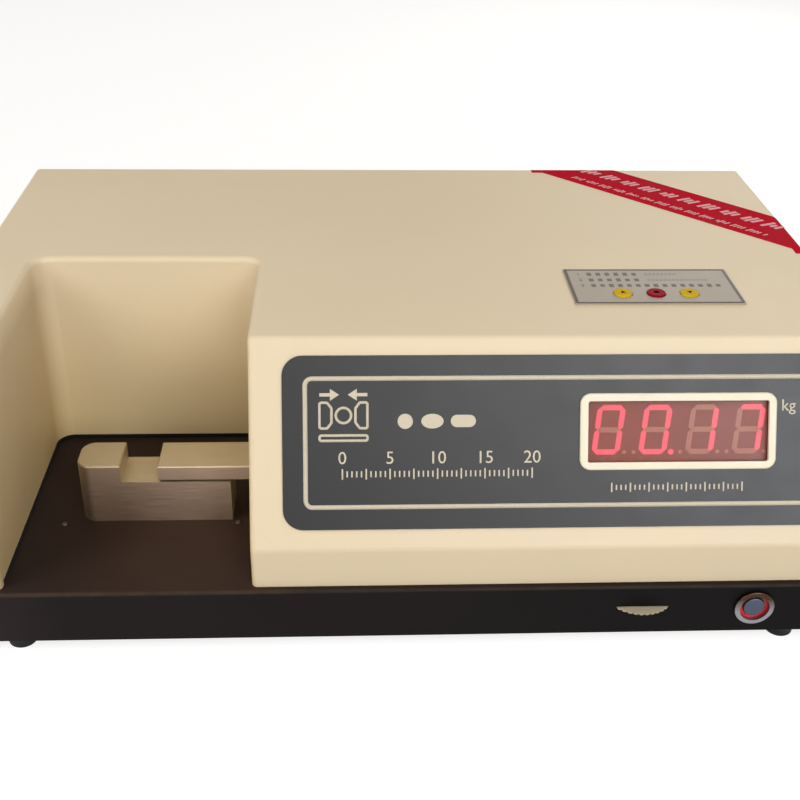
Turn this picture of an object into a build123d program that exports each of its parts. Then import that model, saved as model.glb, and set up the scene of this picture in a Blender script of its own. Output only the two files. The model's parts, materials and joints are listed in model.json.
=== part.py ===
from build123d import *
import math
import os

# A bench tester for the crushing strength of tablets. A black base carries a cream cover with a
# sloping front panel. At the left the cover is cut away in a bay that is open at the top and front,
# where a jaw on a motor-driven slide presses a tablet against a fixed anvil. Millimetres, +Z up, the
# front faces -Y. The origin is the middle of the base's plan, on the surface that the feet stand on.

# Base
base_depth = 250.0
base_height = 26.0
base_wall = 3.0
deck_thickness = 3.0
base_corner_radius = 5.0
base_edge_radius = 2.0
boss_radius = 4.5
boss_inset = 8.0
bottom_plate_thickness = 1.5
bottom_plate_gap = 0.3

# Feet
foot_height = 6.0
foot_top_radius = 7.5
foot_tip_radius = 6.6
foot_inset_x = 32.4
foot_inset_y = 8.2
foot_recess_radius = 3.6
foot_recess_depth = 3.2

# Cover
cover_ledge = 3.0
cover_wall = 3.0
band_height = 19.2
slope_rise = 81.3
slope_run = 39.2
cover_round = 2.6
fold_round = 5.0
lug_size = 10.0
lug_height = 12.0
rear_opening_width = 124.0
rear_opening_height = 52.0
rear_opening_from_side = 95.0
rear_opening_lift = 6.0

# Bay
bay_side_width = 26.0
bay_width = 105.8
bay_depth = 120.0
bay_corner_radius = 8.0

# Anvil and tablet gap
anvil_from_bay = 24.8
anvil_from_front = 58.9
anvil_depth = 20.8
anvil_wall_gap = 12.0
shelf_height = 21.5
post_height = 30.0
post_length = 19.8
anvil_corner_radius = 6.5
anvil_edge = 0.5
tablet_gap = 16.8
jaw_travel = 15.5
jaw_retract = 6.0

# Jaw
jaw_width = 20.8
jaw_height = 6.9
jaw_lift = 1.2
jaw_bar_length = 65.5
jaw_edge = 0.4
shank_length = 10.0
shank_height = 20.0
jaw_slot_margin = 2.5
push_rod_radius = 5.0
rod_socket_depth = 7.0

# Drive
stop_gap = 4.0
end_block_thickness = 12.0
end_block_height = 39.0
chassis_width = 84.0
chassis_thickness = 3.0
chassis_front_reach = 50.0
chassis_end_margin = 2.0
guide_rod_radius = 4.0
guide_rod_spread = 24.0
cell_gap = 6.5
cell_length = 26.0
cell_width = 20.0
cell_height = 32.0
cell_wall = 8.0
cell_slot = 2.0
carriage_length = 44.0
carriage_width = 64.0
carriage_height = 24.0
carriage_end_wall = 4.0
nut_radius = 7.0
nut_length = 16.0
nut_flange_radius = 11.0
nut_flange_thickness = 4.0
screw_radius = 4.0
screw_bore_gap = 0.75
bush_wall = 2.5
bush_length = 14.0
push_bush_wall = 2.5
running_gap = 0.04
bearing_radius = 11.0
bearing_width = 7.0
coupling_radius = 9.5
coupling_length = 25.0
coupling_gap = 6.0
coupling_slit = 1.2
stud_radius = 3.0
motor_side = 42.3
motor_length = 40.0
motor_cap_length = 9.0
motor_corner = 4.0
motor_plate_thickness = 4.0
motor_foot_length = 14.0
motor_pilot_radius = 11.0
motor_pilot_height = 2.0
motor_shaft_radius = 2.5
motor_hole_spacing = 31.0
motor_wall_gap = 13.1

# End-of-travel sensors and the flag that they see
flag_length = 10.0
flag_reach = 11.0
flag_thickness = 1.0
flag_drop = 7.6
sensor_length = 10.0
sensor_depth = 12.0
sensor_height = 23.0
sensor_slot = 3.0
sensor_slot_depth = 9.0
sensor_from_carriage = 5.0
sensor_overlap = 3.0

# Front panel and display
panel_side_margin = 14.2
panel_low_margin = 9.0
panel_high_margin = 7.8
panel_thickness = 1.0
panel_corner_radius = 8.5
display_from_side = 70.8
display_centre_share = 0.5525
digit_count = 4
digit_width = 20.1
digit_height = 27.7
digit_depth = 8.0
digit_gap = 0.2
numeral_width = 11.2
numeral_height = 20.3
numeral_stroke = 2.4
numeral_relief = 0.1
numeral_slant_degrees = 6.0
dot_radius = 1.0
window_width = 77.3
window_height = 26.0
window_thickness = 2.0
window_lap = 2.0
bezel_border = 3.3
bezel_thickness = 1.5
bezel_corner_radius = 4.6
window_corner_radius = 1.0
display_board_margin = 9.0
display_board_thickness = 1.6
display_post_radius = 3.0
display_cutout_margin = 1.0

# Keys on the top
keypad_width = 76.2
keypad_depth = 36.4
keypad_thickness = 0.8
keypad_from_side = 85.8
keypad_from_brow = 47.1
key_row_offset = 8.1
key_pitch = 15.15
key_radius = 4.2
key_proud = 0.8
key_travel = 0.8
key_gap = 0.2
key_stem_length = 7.0
key_flange_radius = 5.4
key_flange_thickness = 1.0
plunger_radius = 1.7
plunger_length = 3.0
key_switch_side = 6.2
key_switch_height = 3.5
key_board_margin = 7.0
key_board_thickness = 1.6
key_post_radius = 2.5

# Power button in the base's front
button_from_side = 49.3
button_lift = 13.8
button_bezel_radius = 8.8
button_bezel_height = 1.6
button_barrel_radius = 7.8
button_barrel_length = 18.0
lens_radius = 6.6
lens_stop_gap = 3.2
lens_recess = 2.2
button_cap_radius = 4.7
button_cap_recess = 0.8
button_cap_length = 9.0
button_travel = 2.0
button_gap = 0.15
button_rim = 0.5

# Zero-setting wheel in the base's front
wheel_from_side = 98.8
wheel_radius = 16.4
wheel_reach = 4.1
wheel_thickness = 1.0
wheel_top_lift = 14.2
wheel_slot_margin = 0.6
wheel_notches = 40
wheel_notch_radius = 0.55
wheel_hub_radius = 4.0
wheel_hub_drop = 1.5
wheel_shaft_radius = 3.0
pot_side = 17.0
pot_wall_gap = 0.3
pot_floor = 1.0
pot_top_gap = 0.8

# Rear panel, mains inlet and fuse
rear_panel_thickness = 2.0
rear_panel_margin = 5.0
rear_panel_gap = 0.3
rear_panel_foot = 14.0
inlet_centre_share = 0.28
inlet_width = 50.0
inlet_height = 27.0
inlet_flange_thickness = 2.6
inlet_body_width = 31.0
inlet_body_height = 23.0
inlet_body_depth = 21.0
socket_width = 24.6
socket_height = 16.6
socket_depth = 17.0
socket_bevel = 4.5
pin_width = 4.0
pin_thickness = 2.0
pin_length = 12.0
pin_spread = 7.0
pin_raise = 2.0
inlet_screw_spacing = 40.0
fuse_centre_share = 0.76
fuse_flange_radius = 9.0
fuse_flange_thickness = 2.5
fuse_barrel_radius = 6.3
fuse_barrel_length = 26.0
fuse_cap_radius = 6.6
fuse_cap_length = 10.0
fuse_cap_slot = 1.4
fuse_cap_slot_depth = 2.0
fuse_nut_thickness = 3.0
fuse_bore_radius = 2.85
fuse_bore_end = 3.0
vent_width = 2.5
vent_height = 26.0
vent_pitch = 5.0
vent_count = 4
vent_centre_share = 0.55

# Electronics behind the drive
board_width = 140.0
drive_board_gap = 7.1
board_thickness = 1.6
board_lift = 8.0
board_from_side = 50.0
board_from_back = 37.0
board_post_radius = 3.0
board_post_inset = 5.0
chip_height = 3.5
chip_place_shares = [(0.30, 0.35), (0.52, 0.35), (0.30, 0.62)]
chip_size_shares = [(0.16, 0.14), (0.10, 0.08), (0.10, 0.08)]
capacitor_radius = 8.0
capacitor_height = 25.0
capacitor_rim = 0.8
capacitor_place_shares = [(0.72, 0.72), (0.86, 0.72)]
core_width = 60.0
core_depth = 26.0
core_height = 50.0
core_window_height = 30.0
core_window_width = 11.0
core_from_bay_side = 63.0
coil_bulge = 12.0
core_foot_reach = 10.0
core_foot_thickness = 1.5
winding_gap = 0.3

# Sealing tape across the rear right corner of the top
tape_width = 32.0
tape_thickness = 0.2
tape_corner_offset = 97.0
tape_flap = 30.0

# Fasteners
screw_shank_radius = 1.5
screw_head_radius = 2.8
screw_head_height = 1.8
pilot_gap = 0.05
clearance_gap = 0.25
cover_screw_bite = 8.0
plate_screw_bite = 8.0
short_screw_length = 6.0
anvil_screw_radius = 2.5
anvil_screw_head_radius = 4.2
anvil_screw_head_height = 3.0
anvil_screw_bite = 12.0
anvil_screw_share = 0.26
deck_screw_radius = 1.0
deck_screw_head_radius = 1.7
deck_screw_head_height = 1.0
deck_screw_ahead = 2.4
deck_screw_left = 7.0
deck_screw_right = 2.6
chassis_screw_inset = 6.0
driver_slot = 0.6
driver_slot_depth = 0.7
foot_screw_bite = 2.0
cut_over = 1.0
film_gap = 0.02

# Places worked out from the sizes
jaw_end_from_bay = anvil_from_bay + post_length + tablet_gap + jaw_bar_length + shank_length
front_block_from_bay = jaw_end_from_bay + jaw_retract + stop_gap
carriage_from_bay = front_block_from_bay + end_block_thickness + jaw_travel + cell_gap + cell_length
rear_block_from_bay = carriage_from_bay + carriage_length + nut_flange_thickness + jaw_retract + stop_gap
coupling_from_bay = rear_block_from_bay + end_block_thickness + coupling_gap
motor_from_bay = coupling_from_bay + coupling_length + stop_gap + motor_plate_thickness
drive_width = motor_from_bay + motor_length + motor_wall_gap
base_width = bay_side_width + drive_width + cover_wall + 2 * cover_ledge
half_width = base_width / 2
half_depth = base_depth / 2
deck_z = foot_height + base_height
deck_under_z = deck_z - deck_thickness
cover_half_width = half_width - cover_ledge
cover_front_y = -half_depth + cover_ledge
cover_back_y = half_depth - cover_ledge
fold_z = deck_z + band_height
brow_y = cover_front_y + slope_run
top_z = fold_z + slope_rise
slope_length = math.hypot(slope_run, slope_rise)
bay_left_x = -cover_half_width + bay_side_width
bay_right_x = bay_left_x + bay_width
bay_back_y = cover_front_y + bay_depth
inner_right_x = bay_right_x + cover_wall

anvil_left_x = bay_left_x + anvil_from_bay
anvil_right_x = bay_right_x - anvil_wall_gap
anvil_length = anvil_right_x - anvil_left_x
axis_y = cover_front_y + anvil_from_front
shelf_z = deck_z + shelf_height
post_z = deck_z + post_height
anvil_face_x = anvil_left_x + post_length
jaw_tip_x = anvil_face_x + tablet_gap
jaw_low_z = shelf_z + jaw_lift
axis_z = jaw_low_z + jaw_height / 2
shank_x = jaw_tip_x + jaw_bar_length
jaw_end_x = bay_left_x + jaw_end_from_bay
front_block_x = bay_left_x + front_block_from_bay
carriage_x = bay_left_x + carriage_from_bay
cell_x = carriage_x - cell_length
carriage_end_x = carriage_x + carriage_length
nut_x = carriage_end_x - nut_length
rear_block_x = bay_left_x + rear_block_from_bay
rear_block_end_x = rear_block_x + end_block_thickness
coupling_x = bay_left_x + coupling_from_bay
coupling_end_x = coupling_x + coupling_length
motor_x = bay_left_x + motor_from_bay
motor_plate_x = motor_x - motor_plate_thickness
motor_end_x = motor_x + motor_length
chassis_top_z = deck_z + chassis_thickness
chassis_start_x = front_block_x - chassis_end_margin
chassis_end_x = motor_end_x + chassis_end_margin
chassis_front_y = axis_y - chassis_front_reach
flag_z = axis_z - flag_drop

wheel_x = half_width - wheel_from_side
wheel_y = -half_depth - wheel_reach + wheel_radius
wheel_top_z = foot_height + wheel_top_lift
wheel_low_z = wheel_top_z - wheel_thickness
button_x = half_width - button_from_side
button_z = foot_height + button_lift
button_face_y = -half_depth - button_bezel_height + button_cap_recess
lens_end_y = button_face_y + button_cap_length + button_travel + lens_stop_gap
panel_low = panel_low_margin
panel_high = slope_length - panel_high_margin
panel_left_x = bay_right_x + panel_side_margin
panel_right_x = cover_half_width - panel_side_margin
display_centre_x = panel_right_x - display_from_side
display_s = slope_length * display_centre_share
keypad_centre_x = cover_half_width - keypad_from_side
keypad_y = brow_y + keypad_from_brow
key_y = keypad_y - key_row_offset
keypad_top_z = top_z + keypad_thickness
key_low_z = keypad_top_z + key_proud - key_stem_length
key_board_top_z = key_low_z - key_travel - key_gap - key_switch_height
cover_inner_top_z = top_z - cover_wall
rear_low_z = deck_z + rear_opening_lift
rear_panel_y = cover_back_y - cover_wall - rear_panel_gap
rear_opening_centre_x = cover_half_width - rear_opening_from_side
rear_panel_half = rear_opening_width / 2 + rear_panel_margin
rear_panel_x = rear_opening_centre_x - rear_panel_half
inlet_x = rear_panel_x + 2 * rear_panel_half * inlet_centre_share
fuse_x = rear_panel_x + 2 * rear_panel_half * fuse_centre_share
rear_axis_z = rear_low_z + rear_opening_height / 2
board_left_x = cover_half_width - cover_wall - board_from_side - board_width
board_front_y = axis_y + chassis_width / 2 + drive_board_gap
board_depth = cover_back_y - cover_wall - board_from_back - board_front_y
core_x = bay_left_x + core_from_bay_side
core_y = (bay_back_y + cover_back_y) / 2

# The sloping face: local x runs across, y climbs the slope from the fold, z points out of it
slope_plane = Plane(
    origin=(0, cover_front_y, fold_z),
    x_dir=(1, 0, 0),
    z_dir=(0, -slope_rise / slope_length, slope_run / slope_length),
)


def block(x_span, y_span, z_span):
    """A box between two places on each axis."""
    sizes = [high - low for low, high in (x_span, y_span, z_span)]
    return Pos(x_span[0], y_span[0], z_span[0]) * Box(*sizes, align=(Align.MIN, Align.MIN, Align.MIN))


def bar(axis, centre, radius, span):
    """A cylinder along an axis. The centre is its place on the other two axes, the span its two ends."""
    rod = Cylinder(radius, span[1] - span[0], align=(Align.CENTER, Align.CENTER, Align.MIN))
    if axis == "X":
        return Pos(span[0], centre[0], centre[1]) * Rot(0, 90, 0) * rod
    if axis == "Y":
        return Pos(centre[0], span[0], centre[1]) * Rot(-90, 0, 0) * rod
    return Pos(centre[0], centre[1], span[0]) * rod


def rounded_plate(width, height, radius, thickness):
    """A plate with round corners, centred in x and y, its back on z = 0."""
    return extrude(RectangleRounded(width, height, radius), amount=thickness)


def mirrored(reach_x, reach_y):
    """Four places, one in each quarter."""
    return [(sx * reach_x, sy * reach_y) for sx in (-1, 1) for sy in (-1, 1)]


def fastener(radius, head_radius, head_height, length):
    """A screw along +Z with its head under z = 0 and a driver slot in the head."""
    shank = bar("Z", (0, 0), radius, (0, length))
    head = bar("Z", (0, 0), head_radius, (-head_height, 0))
    slot = block(
        (-head_radius - cut_over, head_radius + cut_over),
        (-driver_slot / 2, driver_slot / 2),
        (-head_height - cut_over, driver_slot_depth - head_height),
    )
    return shank + head - slot


def grouped(shapes):
    """Separate solids that share one node."""
    return Compound(children=[solid for shape in shapes for solid in shape.solids()])


def lug_places():
    """Where the cover is screwed down to the deck from below."""
    reach_x = cover_half_width - cover_wall - lug_size / 2
    reach_y = cover_back_y - cover_wall - lug_size / 2
    return mirrored(reach_x, reach_y) + [(inner_right_x + lug_size / 2, -reach_y)]


def boss_places():
    """Where the bottom plate is screwed up to the base."""
    reach_x = half_width - base_wall - boss_inset
    reach_y = half_depth - base_wall - boss_inset - lug_size
    return mirrored(reach_x, reach_y) + [(0, -reach_y), (0, reach_y)]


def foot_places():
    """Centres of the four feet."""
    return mirrored(half_width - foot_inset_x, half_depth - foot_inset_y)


def anvil_screw_places():
    """Two screws that hold the anvil down from under the deck."""
    inset = anvil_length * anvil_screw_share
    return [(anvil_left_x + inset, axis_y), (anvil_right_x - inset, axis_y)]


def deck_screw_places():
    """Two small screws beside the anvil's front corners."""
    y = axis_y - anvil_depth / 2 - deck_screw_ahead
    return [(anvil_left_x - deck_screw_left, y), (anvil_right_x + deck_screw_right, y)]


def chassis_screw_places():
    """Four screws that hold the drive's plate down to the deck."""
    low_x = chassis_start_x + chassis_screw_inset
    high_x = chassis_end_x - chassis_screw_inset
    low_y = chassis_front_y + chassis_screw_inset
    high_y = chassis_front_y + chassis_width - chassis_screw_inset
    return [(x, y) for x in (low_x, high_x) for y in (low_y, high_y)]


def board_post_places():
    """Four spacers under the main board."""
    low = (board_left_x + board_post_inset, board_front_y + board_post_inset)
    high = (board_left_x + board_width - board_post_inset, board_front_y + board_depth - board_post_inset)
    return [(x, y) for x in (low[0], high[0]) for y in (low[1], high[1])]


def key_places():
    """Centres of the three keys."""
    return [(keypad_centre_x + step * key_pitch, key_y) for step in (-1, 0, 1)]


def base_tray():
    """The black pan: its top is the deck of the bay, and its front carries the button and the wheel."""
    body = block((-half_width, half_width), (-half_depth, half_depth), (foot_height, deck_z))
    body = fillet(body.edges().filter_by(Axis.Z), base_corner_radius)
    body = fillet(body.faces().sort_by(Axis.Z)[-1].edges(), base_edge_radius)
    body -= block(
        (-half_width + base_wall, half_width - base_wall),
        (-half_depth + base_wall, half_depth - base_wall),
        (foot_height - cut_over, deck_under_z),
    )
    plate_z = foot_height + bottom_plate_thickness
    for place in boss_places():
        body += bar("Z", place, boss_radius, (plate_z, deck_under_z))
    for place in boss_places():
        hole = screw_shank_radius + pilot_gap
        body -= bar("Z", place, hole, (plate_z - cut_over, plate_z + plate_screw_bite + cut_over))
    for place in board_post_places():
        body += bar("Z", place, board_post_radius, (deck_z, deck_z + board_lift))
    through = (deck_under_z - cut_over, deck_z + cut_over)
    for place in lug_places() + chassis_screw_places():
        body -= bar("Z", place, screw_shank_radius + clearance_gap, through)
    for place in anvil_screw_places():
        body -= bar("Z", place, anvil_screw_radius + clearance_gap, through)
    for place in deck_screw_places():
        body -= bar("Z", place, deck_screw_radius + pilot_gap, through)
    front_wall = (-half_depth - cut_over, -half_depth + base_wall + cut_over)
    body -= bar("Y", (button_x, button_z), button_barrel_radius + clearance_gap, front_wall)
    slot_z = (wheel_low_z - wheel_slot_margin, wheel_top_z + wheel_slot_margin)
    return body - bar("Z", (wheel_x, wheel_y), wheel_radius + wheel_slot_margin, slot_z)


def bottom_plate():
    """The sheet that closes the base from below."""
    reach_x = half_width - base_wall - bottom_plate_gap
    reach_y = half_depth - base_wall - bottom_plate_gap
    plate_z = foot_height + bottom_plate_thickness
    plate = block((-reach_x, reach_x), (-reach_y, reach_y), (foot_height, plate_z))
    through = (foot_height - cut_over, plate_z + cut_over)
    for place in boss_places():
        plate -= bar("Z", place, screw_shank_radius + clearance_gap, through)
    for place in foot_places():
        plate -= bar("Z", place, screw_shank_radius + pilot_gap, through)
    return plate


def rubber_foot(place):
    """A tapered foot with a recess for its screw."""
    foot = Pos(place[0], place[1], foot_height / 2) * Cone(foot_tip_radius, foot_top_radius, foot_height)
    foot -= bar("Z", place, foot_recess_radius, (-cut_over, foot_recess_depth))
    foot -= bar("Z", place, screw_shank_radius + clearance_gap, (0, foot_height + cut_over))
    return foot


def small_screw(length):
    """A screw of the size that holds most pieces, pointing up from z = 0."""
    return fastener(screw_shank_radius, screw_head_radius, screw_head_height, length)


def bottom_screws():
    """Screws up through the bottom plate into the base's bosses, and up through the feet into the plate."""
    in_plate = small_screw(bottom_plate_thickness + plate_screw_bite)
    in_foot = small_screw(foot_height - foot_recess_depth + bottom_plate_thickness + foot_screw_bite)
    made = [Pos(x, y, foot_height) * in_plate for x, y in boss_places()]
    made += [Pos(x, y, foot_recess_depth) * in_foot for x, y in foot_places()]
    return grouped(made)


def under_deck_screws():
    """Screws up through the deck into the cover's lugs, the drive's plate and the anvil."""
    in_lug = small_screw(deck_thickness + cover_screw_bite)
    in_chassis = small_screw(deck_thickness + chassis_thickness)
    anvil_reach = deck_thickness + anvil_screw_bite
    in_anvil = fastener(anvil_screw_radius, anvil_screw_head_radius, anvil_screw_head_height, anvil_reach)
    made = [Pos(x, y, deck_under_z) * in_lug for x, y in lug_places()]
    made += [Pos(x, y, deck_under_z) * in_chassis for x, y in chassis_screw_places()]
    made += [Pos(x, y, deck_under_z) * in_anvil for x, y in anvil_screw_places()]
    return grouped(made)


def cover_profile(inset):
    """The cover's side outline, moved inwards by the inset, as a face across X."""
    front = cover_front_y + inset
    back = cover_back_y - inset
    top = top_z - inset
    fold = fold_z - inset * (slope_length - slope_rise) / slope_run
    brow = brow_y + inset * (slope_length - slope_run) / slope_rise
    outline = Polyline((front, deck_z), (front, fold), (brow, top), (back, top), (back, deck_z), close=True)
    return make_face(Plane.YZ * outline)


def bay_space(margin):
    """The room that the bay takes out of the cover, grown by a margin at its closed sides."""
    room = block(
        (bay_left_x - margin, bay_right_x + margin),
        (cover_front_y - cut_over, bay_back_y + margin),
        (deck_z - cut_over, top_z + cut_over),
    )
    corners = room.edges().filter_by(Axis.Z).sort_by(Axis.Y)[-2:]
    return fillet(corners, bay_corner_radius + margin)


def cover_form(inset):
    """The cover's outer form with its bay and rounded edges, solid inside."""
    reach = cover_half_width - inset
    body = Pos(-reach, 0, 0) * extrude(cover_profile(inset), amount=2 * reach, dir=(1, 0, 0))
    across = body.edges().filter_by(Axis.X)
    brow_edge = across.sort_by(lambda e: abs(e.center().Y - brow_y) + abs(e.center().Z - top_z))[0]
    body = fillet(brow_edge, cover_round - inset)
    across = body.edges().filter_by(Axis.X)
    fold_edge = across.sort_by(lambda e: abs(e.center().Y - cover_front_y) + abs(e.center().Z - fold_z))[0]
    body = fillet(fold_edge, fold_round - inset)
    body -= bay_space(inset)
    sides = (-reach, bay_left_x - inset, bay_right_x + inset, reach)
    rims = [e for e in body.edges() if on_cover_rim(e, sides, inset)]
    return fillet(rims, cover_round - inset)


def on_cover_rim(edge, sides, inset):
    """Whether an edge of the cover is one that the mould rounds: any but those at its foot and in corners."""
    box = edge.bounding_box()
    flat = box.max.Z - box.min.Z < film_gap
    if flat and box.max.Z < deck_z + film_gap:
        return False
    on_side = box.max.X - box.min.X < film_gap and any(abs(box.min.X - x) < film_gap for x in sides)
    on_top = flat and abs(box.max.Z - (top_z - inset)) < film_gap
    behind_bay = box.min.Y > bay_back_y - bay_corner_radius - film_gap
    return on_side or (on_top and behind_bay)


def cover_cavity():
    """The room inside the cover's walls."""
    reach = cover_half_width - cover_wall
    room = Pos(-reach, 0, 0) * extrude(cover_profile(cover_wall), amount=2 * reach, dir=(1, 0, 0))
    room += block(
        (-reach, reach),
        (cover_front_y + cover_wall, cover_back_y - cover_wall),
        (deck_z - cut_over, deck_z + cut_over),
    )
    return room - bay_space(cover_wall)


def display_cutout_size():
    """Width and height of the hole in the sloping wall behind the front panel."""
    return (
        window_width + 2 * (window_lap + display_cutout_margin),
        digit_height + 2 * (window_lap + display_cutout_margin),
    )


def display_post_places():
    """Four posts behind the sloping wall that carry the display board."""
    width, height = display_cutout_size()
    reach_x = (width + display_board_margin) / 2
    reach_s = height / 2 - display_post_radius
    return [(display_centre_x + sx * reach_x, display_s + sy * reach_s) for sx in (-1, 1) for sy in (-1, 1)]


def key_post_places():
    """Four posts under the top that carry the key board."""
    reach_x = key_pitch + key_switch_side + key_post_radius
    corners = [(sx, sy) for sx in (-1, 1) for sy in (-1, 1)]
    return [(keypad_centre_x + sx * reach_x, key_y + sy * key_board_margin) for sx, sy in corners]


def top_cover():
    """The cream shell: walls, bay, openings, screw lugs and the posts that carry two boards."""
    shell = cover_form(0) - cover_cavity()
    for x, y in lug_places():
        reach = lug_size / 2 + film_gap
        shell += block((x - reach, x + reach), (y - reach, y + reach), (deck_z, deck_z + lug_height))
    for place in lug_places():
        hole = screw_shank_radius + pilot_gap
        shell -= bar("Z", place, hole, (deck_z - cut_over, deck_z + cover_screw_bite + cut_over))
    board_depth_n = window_thickness + digit_gap + digit_depth
    for x, s in display_post_places():
        post = bar("Z", (x, s), display_post_radius, (-board_depth_n, -cover_wall + film_gap))
        shell += slope_plane * post
    for place in key_post_places():
        shell += bar("Z", place, key_post_radius, (key_board_top_z, cover_inner_top_z + film_gap))
    width, height = display_cutout_size()
    cutout = Pos(display_centre_x, display_s, 0) * Box(width, height, 2 * (cover_wall + cut_over))
    shell -= slope_plane * cutout
    for place in key_places():
        shell -= bar("Z", place, key_radius + key_gap, (cover_inner_top_z - cut_over, top_z + cut_over))
    jaw_reach = jaw_width / 2 + jaw_slot_margin
    shell -= block(
        (bay_right_x - cut_over, inner_right_x + cut_over),
        (axis_y - jaw_reach, axis_y + jaw_reach),
        (jaw_low_z - jaw_slot_margin, jaw_low_z + jaw_height + jaw_slot_margin),
    )
    rear_reach = rear_opening_width / 2
    shell -= block(
        (rear_opening_centre_x - rear_reach, rear_opening_centre_x + rear_reach),
        (cover_back_y - cover_wall - cut_over, cover_back_y + cut_over),
        (rear_low_z, rear_low_z + rear_opening_height),
    )
    return shell


def front_panel():
    """The black plate on the sloping wall, with the display's window cut in it."""
    width = panel_right_x - panel_left_x
    height = panel_high - panel_low
    centre = ((panel_left_x + panel_right_x) / 2, (panel_low + panel_high) / 2)
    plate = Pos(*centre, 0) * rounded_plate(width, height, panel_corner_radius, panel_thickness)
    hole = rounded_plate(window_width, window_height, window_corner_radius, panel_thickness + 2 * cut_over)
    plate -= Pos(display_centre_x, display_s, -cut_over) * hole
    return slope_plane * plate


def display_bezel():
    """The cream frame round the display."""
    width = window_width + 2 * bezel_border
    height = window_height + 2 * bezel_border
    frame = rounded_plate(width, height, bezel_corner_radius, bezel_thickness)
    frame = fillet(frame.faces().sort_by(Axis.Z)[-1].edges(), bezel_thickness / 2)
    hole = rounded_plate(window_width, window_height, window_corner_radius, bezel_thickness + 2 * cut_over)
    frame -= Pos(0, 0, -cut_over) * hole
    return slope_plane * Pos(display_centre_x, display_s, panel_thickness) * frame


def display_window():
    """The red filter, fixed behind the front panel's hole."""
    width = window_width + 2 * window_lap
    height = window_height + 2 * window_lap
    plate = rounded_plate(width, height, window_corner_radius, window_thickness)
    return slope_plane * Pos(display_centre_x, display_s, -window_thickness) * plate


def numeral_segments():
    """The seven strokes of a numeral and its two points, as raised faces on a digit's front."""
    middle = (numeral_height - numeral_stroke) / 2
    side = (numeral_width - numeral_stroke) / 2
    lean = math.tan(math.radians(numeral_slant_degrees))
    strokes = []
    flat_length = numeral_width - 2 * numeral_stroke
    tall_length = middle - numeral_stroke
    for level in (-middle, 0, middle):
        strokes.append(Pos(level * lean, level) * Rectangle(flat_length, numeral_stroke))
    for sx in (-1, 1):
        for sy in (-1, 1):
            level = sy * middle / 2
            upright = Rectangle(numeral_stroke, tall_length)
            strokes.append(Pos(sx * side + level * lean, level) * Rot(0, 0, -numeral_slant_degrees) * upright)
    base = -middle - numeral_stroke / 2 + dot_radius
    for sx in (-1, 1):
        x = sx * (numeral_width / 2 + 2 * dot_radius) + base * lean
        strokes.append(Pos(x, base) * Circle(dot_radius))
    return [extrude(stroke, amount=numeral_relief) for stroke in strokes]


def digit_module(number):
    """One numeral block of the display, counted from the left."""
    x = display_centre_x + (number - (digit_count + 1) / 2) * digit_width
    front = -window_thickness - digit_gap
    width = digit_width - film_gap
    height = (-digit_height / 2, digit_height / 2)
    body = block((-width / 2, width / 2), height, (-digit_depth, -numeral_relief))
    for stroke in numeral_segments():
        body += Pos(0, 0, -numeral_relief) * stroke
    return slope_plane * Pos(x, display_s, front) * body


def display_board():
    """The circuit board that carries the numeral blocks, screwed to the posts behind the slope."""
    width, height = display_cutout_size()
    width += 2 * display_board_margin
    back = -window_thickness - digit_gap - digit_depth - display_board_thickness
    board = Pos(0, 0, back) * rounded_plate(width, height, window_corner_radius, display_board_thickness)
    return slope_plane * Pos(display_centre_x, display_s, 0) * board


def keypad_plate():
    """The grey plate round the three keys on the top."""
    centre = (keypad_centre_x, keypad_y, top_z)
    plate = Pos(*centre) * Box(
        keypad_width, keypad_depth, keypad_thickness, align=(Align.CENTER, Align.CENTER, Align.MIN)
    )
    for place in key_places():
        plate -= bar("Z", place, key_radius + key_gap, (top_z - cut_over, keypad_top_z + cut_over))
    return plate


def key_cap(place):
    """A round key with a flange that keeps it in and a plunger that enters its switch."""
    crown_z = keypad_top_z + key_proud
    cap = bar("Z", place, key_radius, (key_low_z, crown_z))
    cap = fillet(cap.edges().sort_by(Axis.Z)[-1], key_proud / 2)
    flange_z = cover_inner_top_z - key_gap
    cap += bar("Z", place, key_flange_radius, (flange_z - key_flange_thickness, flange_z))
    cap += bar("Z", place, plunger_radius, (key_low_z - plunger_length, key_low_z))
    return cap


def key_switches():
    """The switches under the keys, open at the top for the plungers."""
    half = key_switch_side / 2
    top = key_board_top_z + key_switch_height
    well = top - plunger_length - key_gap
    made = []
    for x, y in key_places():
        body = block((x - half, x + half), (y - half, y + half), (key_board_top_z, top))
        made.append(body - bar("Z", (x, y), plunger_radius + key_gap, (well, top + cut_over)))
    return grouped(made)


def key_board():
    """The circuit board under the keys."""
    reach_x = key_pitch + key_switch_side + 2 * key_post_radius
    reach_y = key_board_margin + key_post_radius
    return block(
        (keypad_centre_x - reach_x, keypad_centre_x + reach_x),
        (key_y - reach_y, key_y + reach_y),
        (key_board_top_z - key_board_thickness, key_board_top_z),
    )


def anvil_block():
    """The fixed anvil: a post that the tablet is pressed against and a shelf that it lies on."""
    y_span = (axis_y - anvil_depth / 2, axis_y + anvil_depth / 2)
    body = block((anvil_left_x, anvil_right_x), y_span, (deck_z, shelf_z))
    body += block((anvil_left_x, anvil_face_x), y_span, (shelf_z, post_z))
    nose = body.edges().filter_by(Axis.Z).group_by(Axis.X)[0]
    body = fillet(nose, anvil_corner_radius)
    body = chamfer(body.faces().sort_by(Axis.Z)[-1].edges(), anvil_edge)
    for place in anvil_screw_places():
        hole = anvil_screw_radius + pilot_gap
        body -= bar("Z", place, hole, (deck_z - cut_over, deck_z + anvil_screw_bite + cut_over))
    return body


def deck_screws():
    """Small bright screws in the deck beside the anvil."""
    one = fastener(deck_screw_radius, deck_screw_head_radius, deck_screw_head_height, deck_thickness)
    return grouped([Pos(x, y, deck_z) * Rot(180, 0, 0) * one for x, y in deck_screw_places()])


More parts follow.
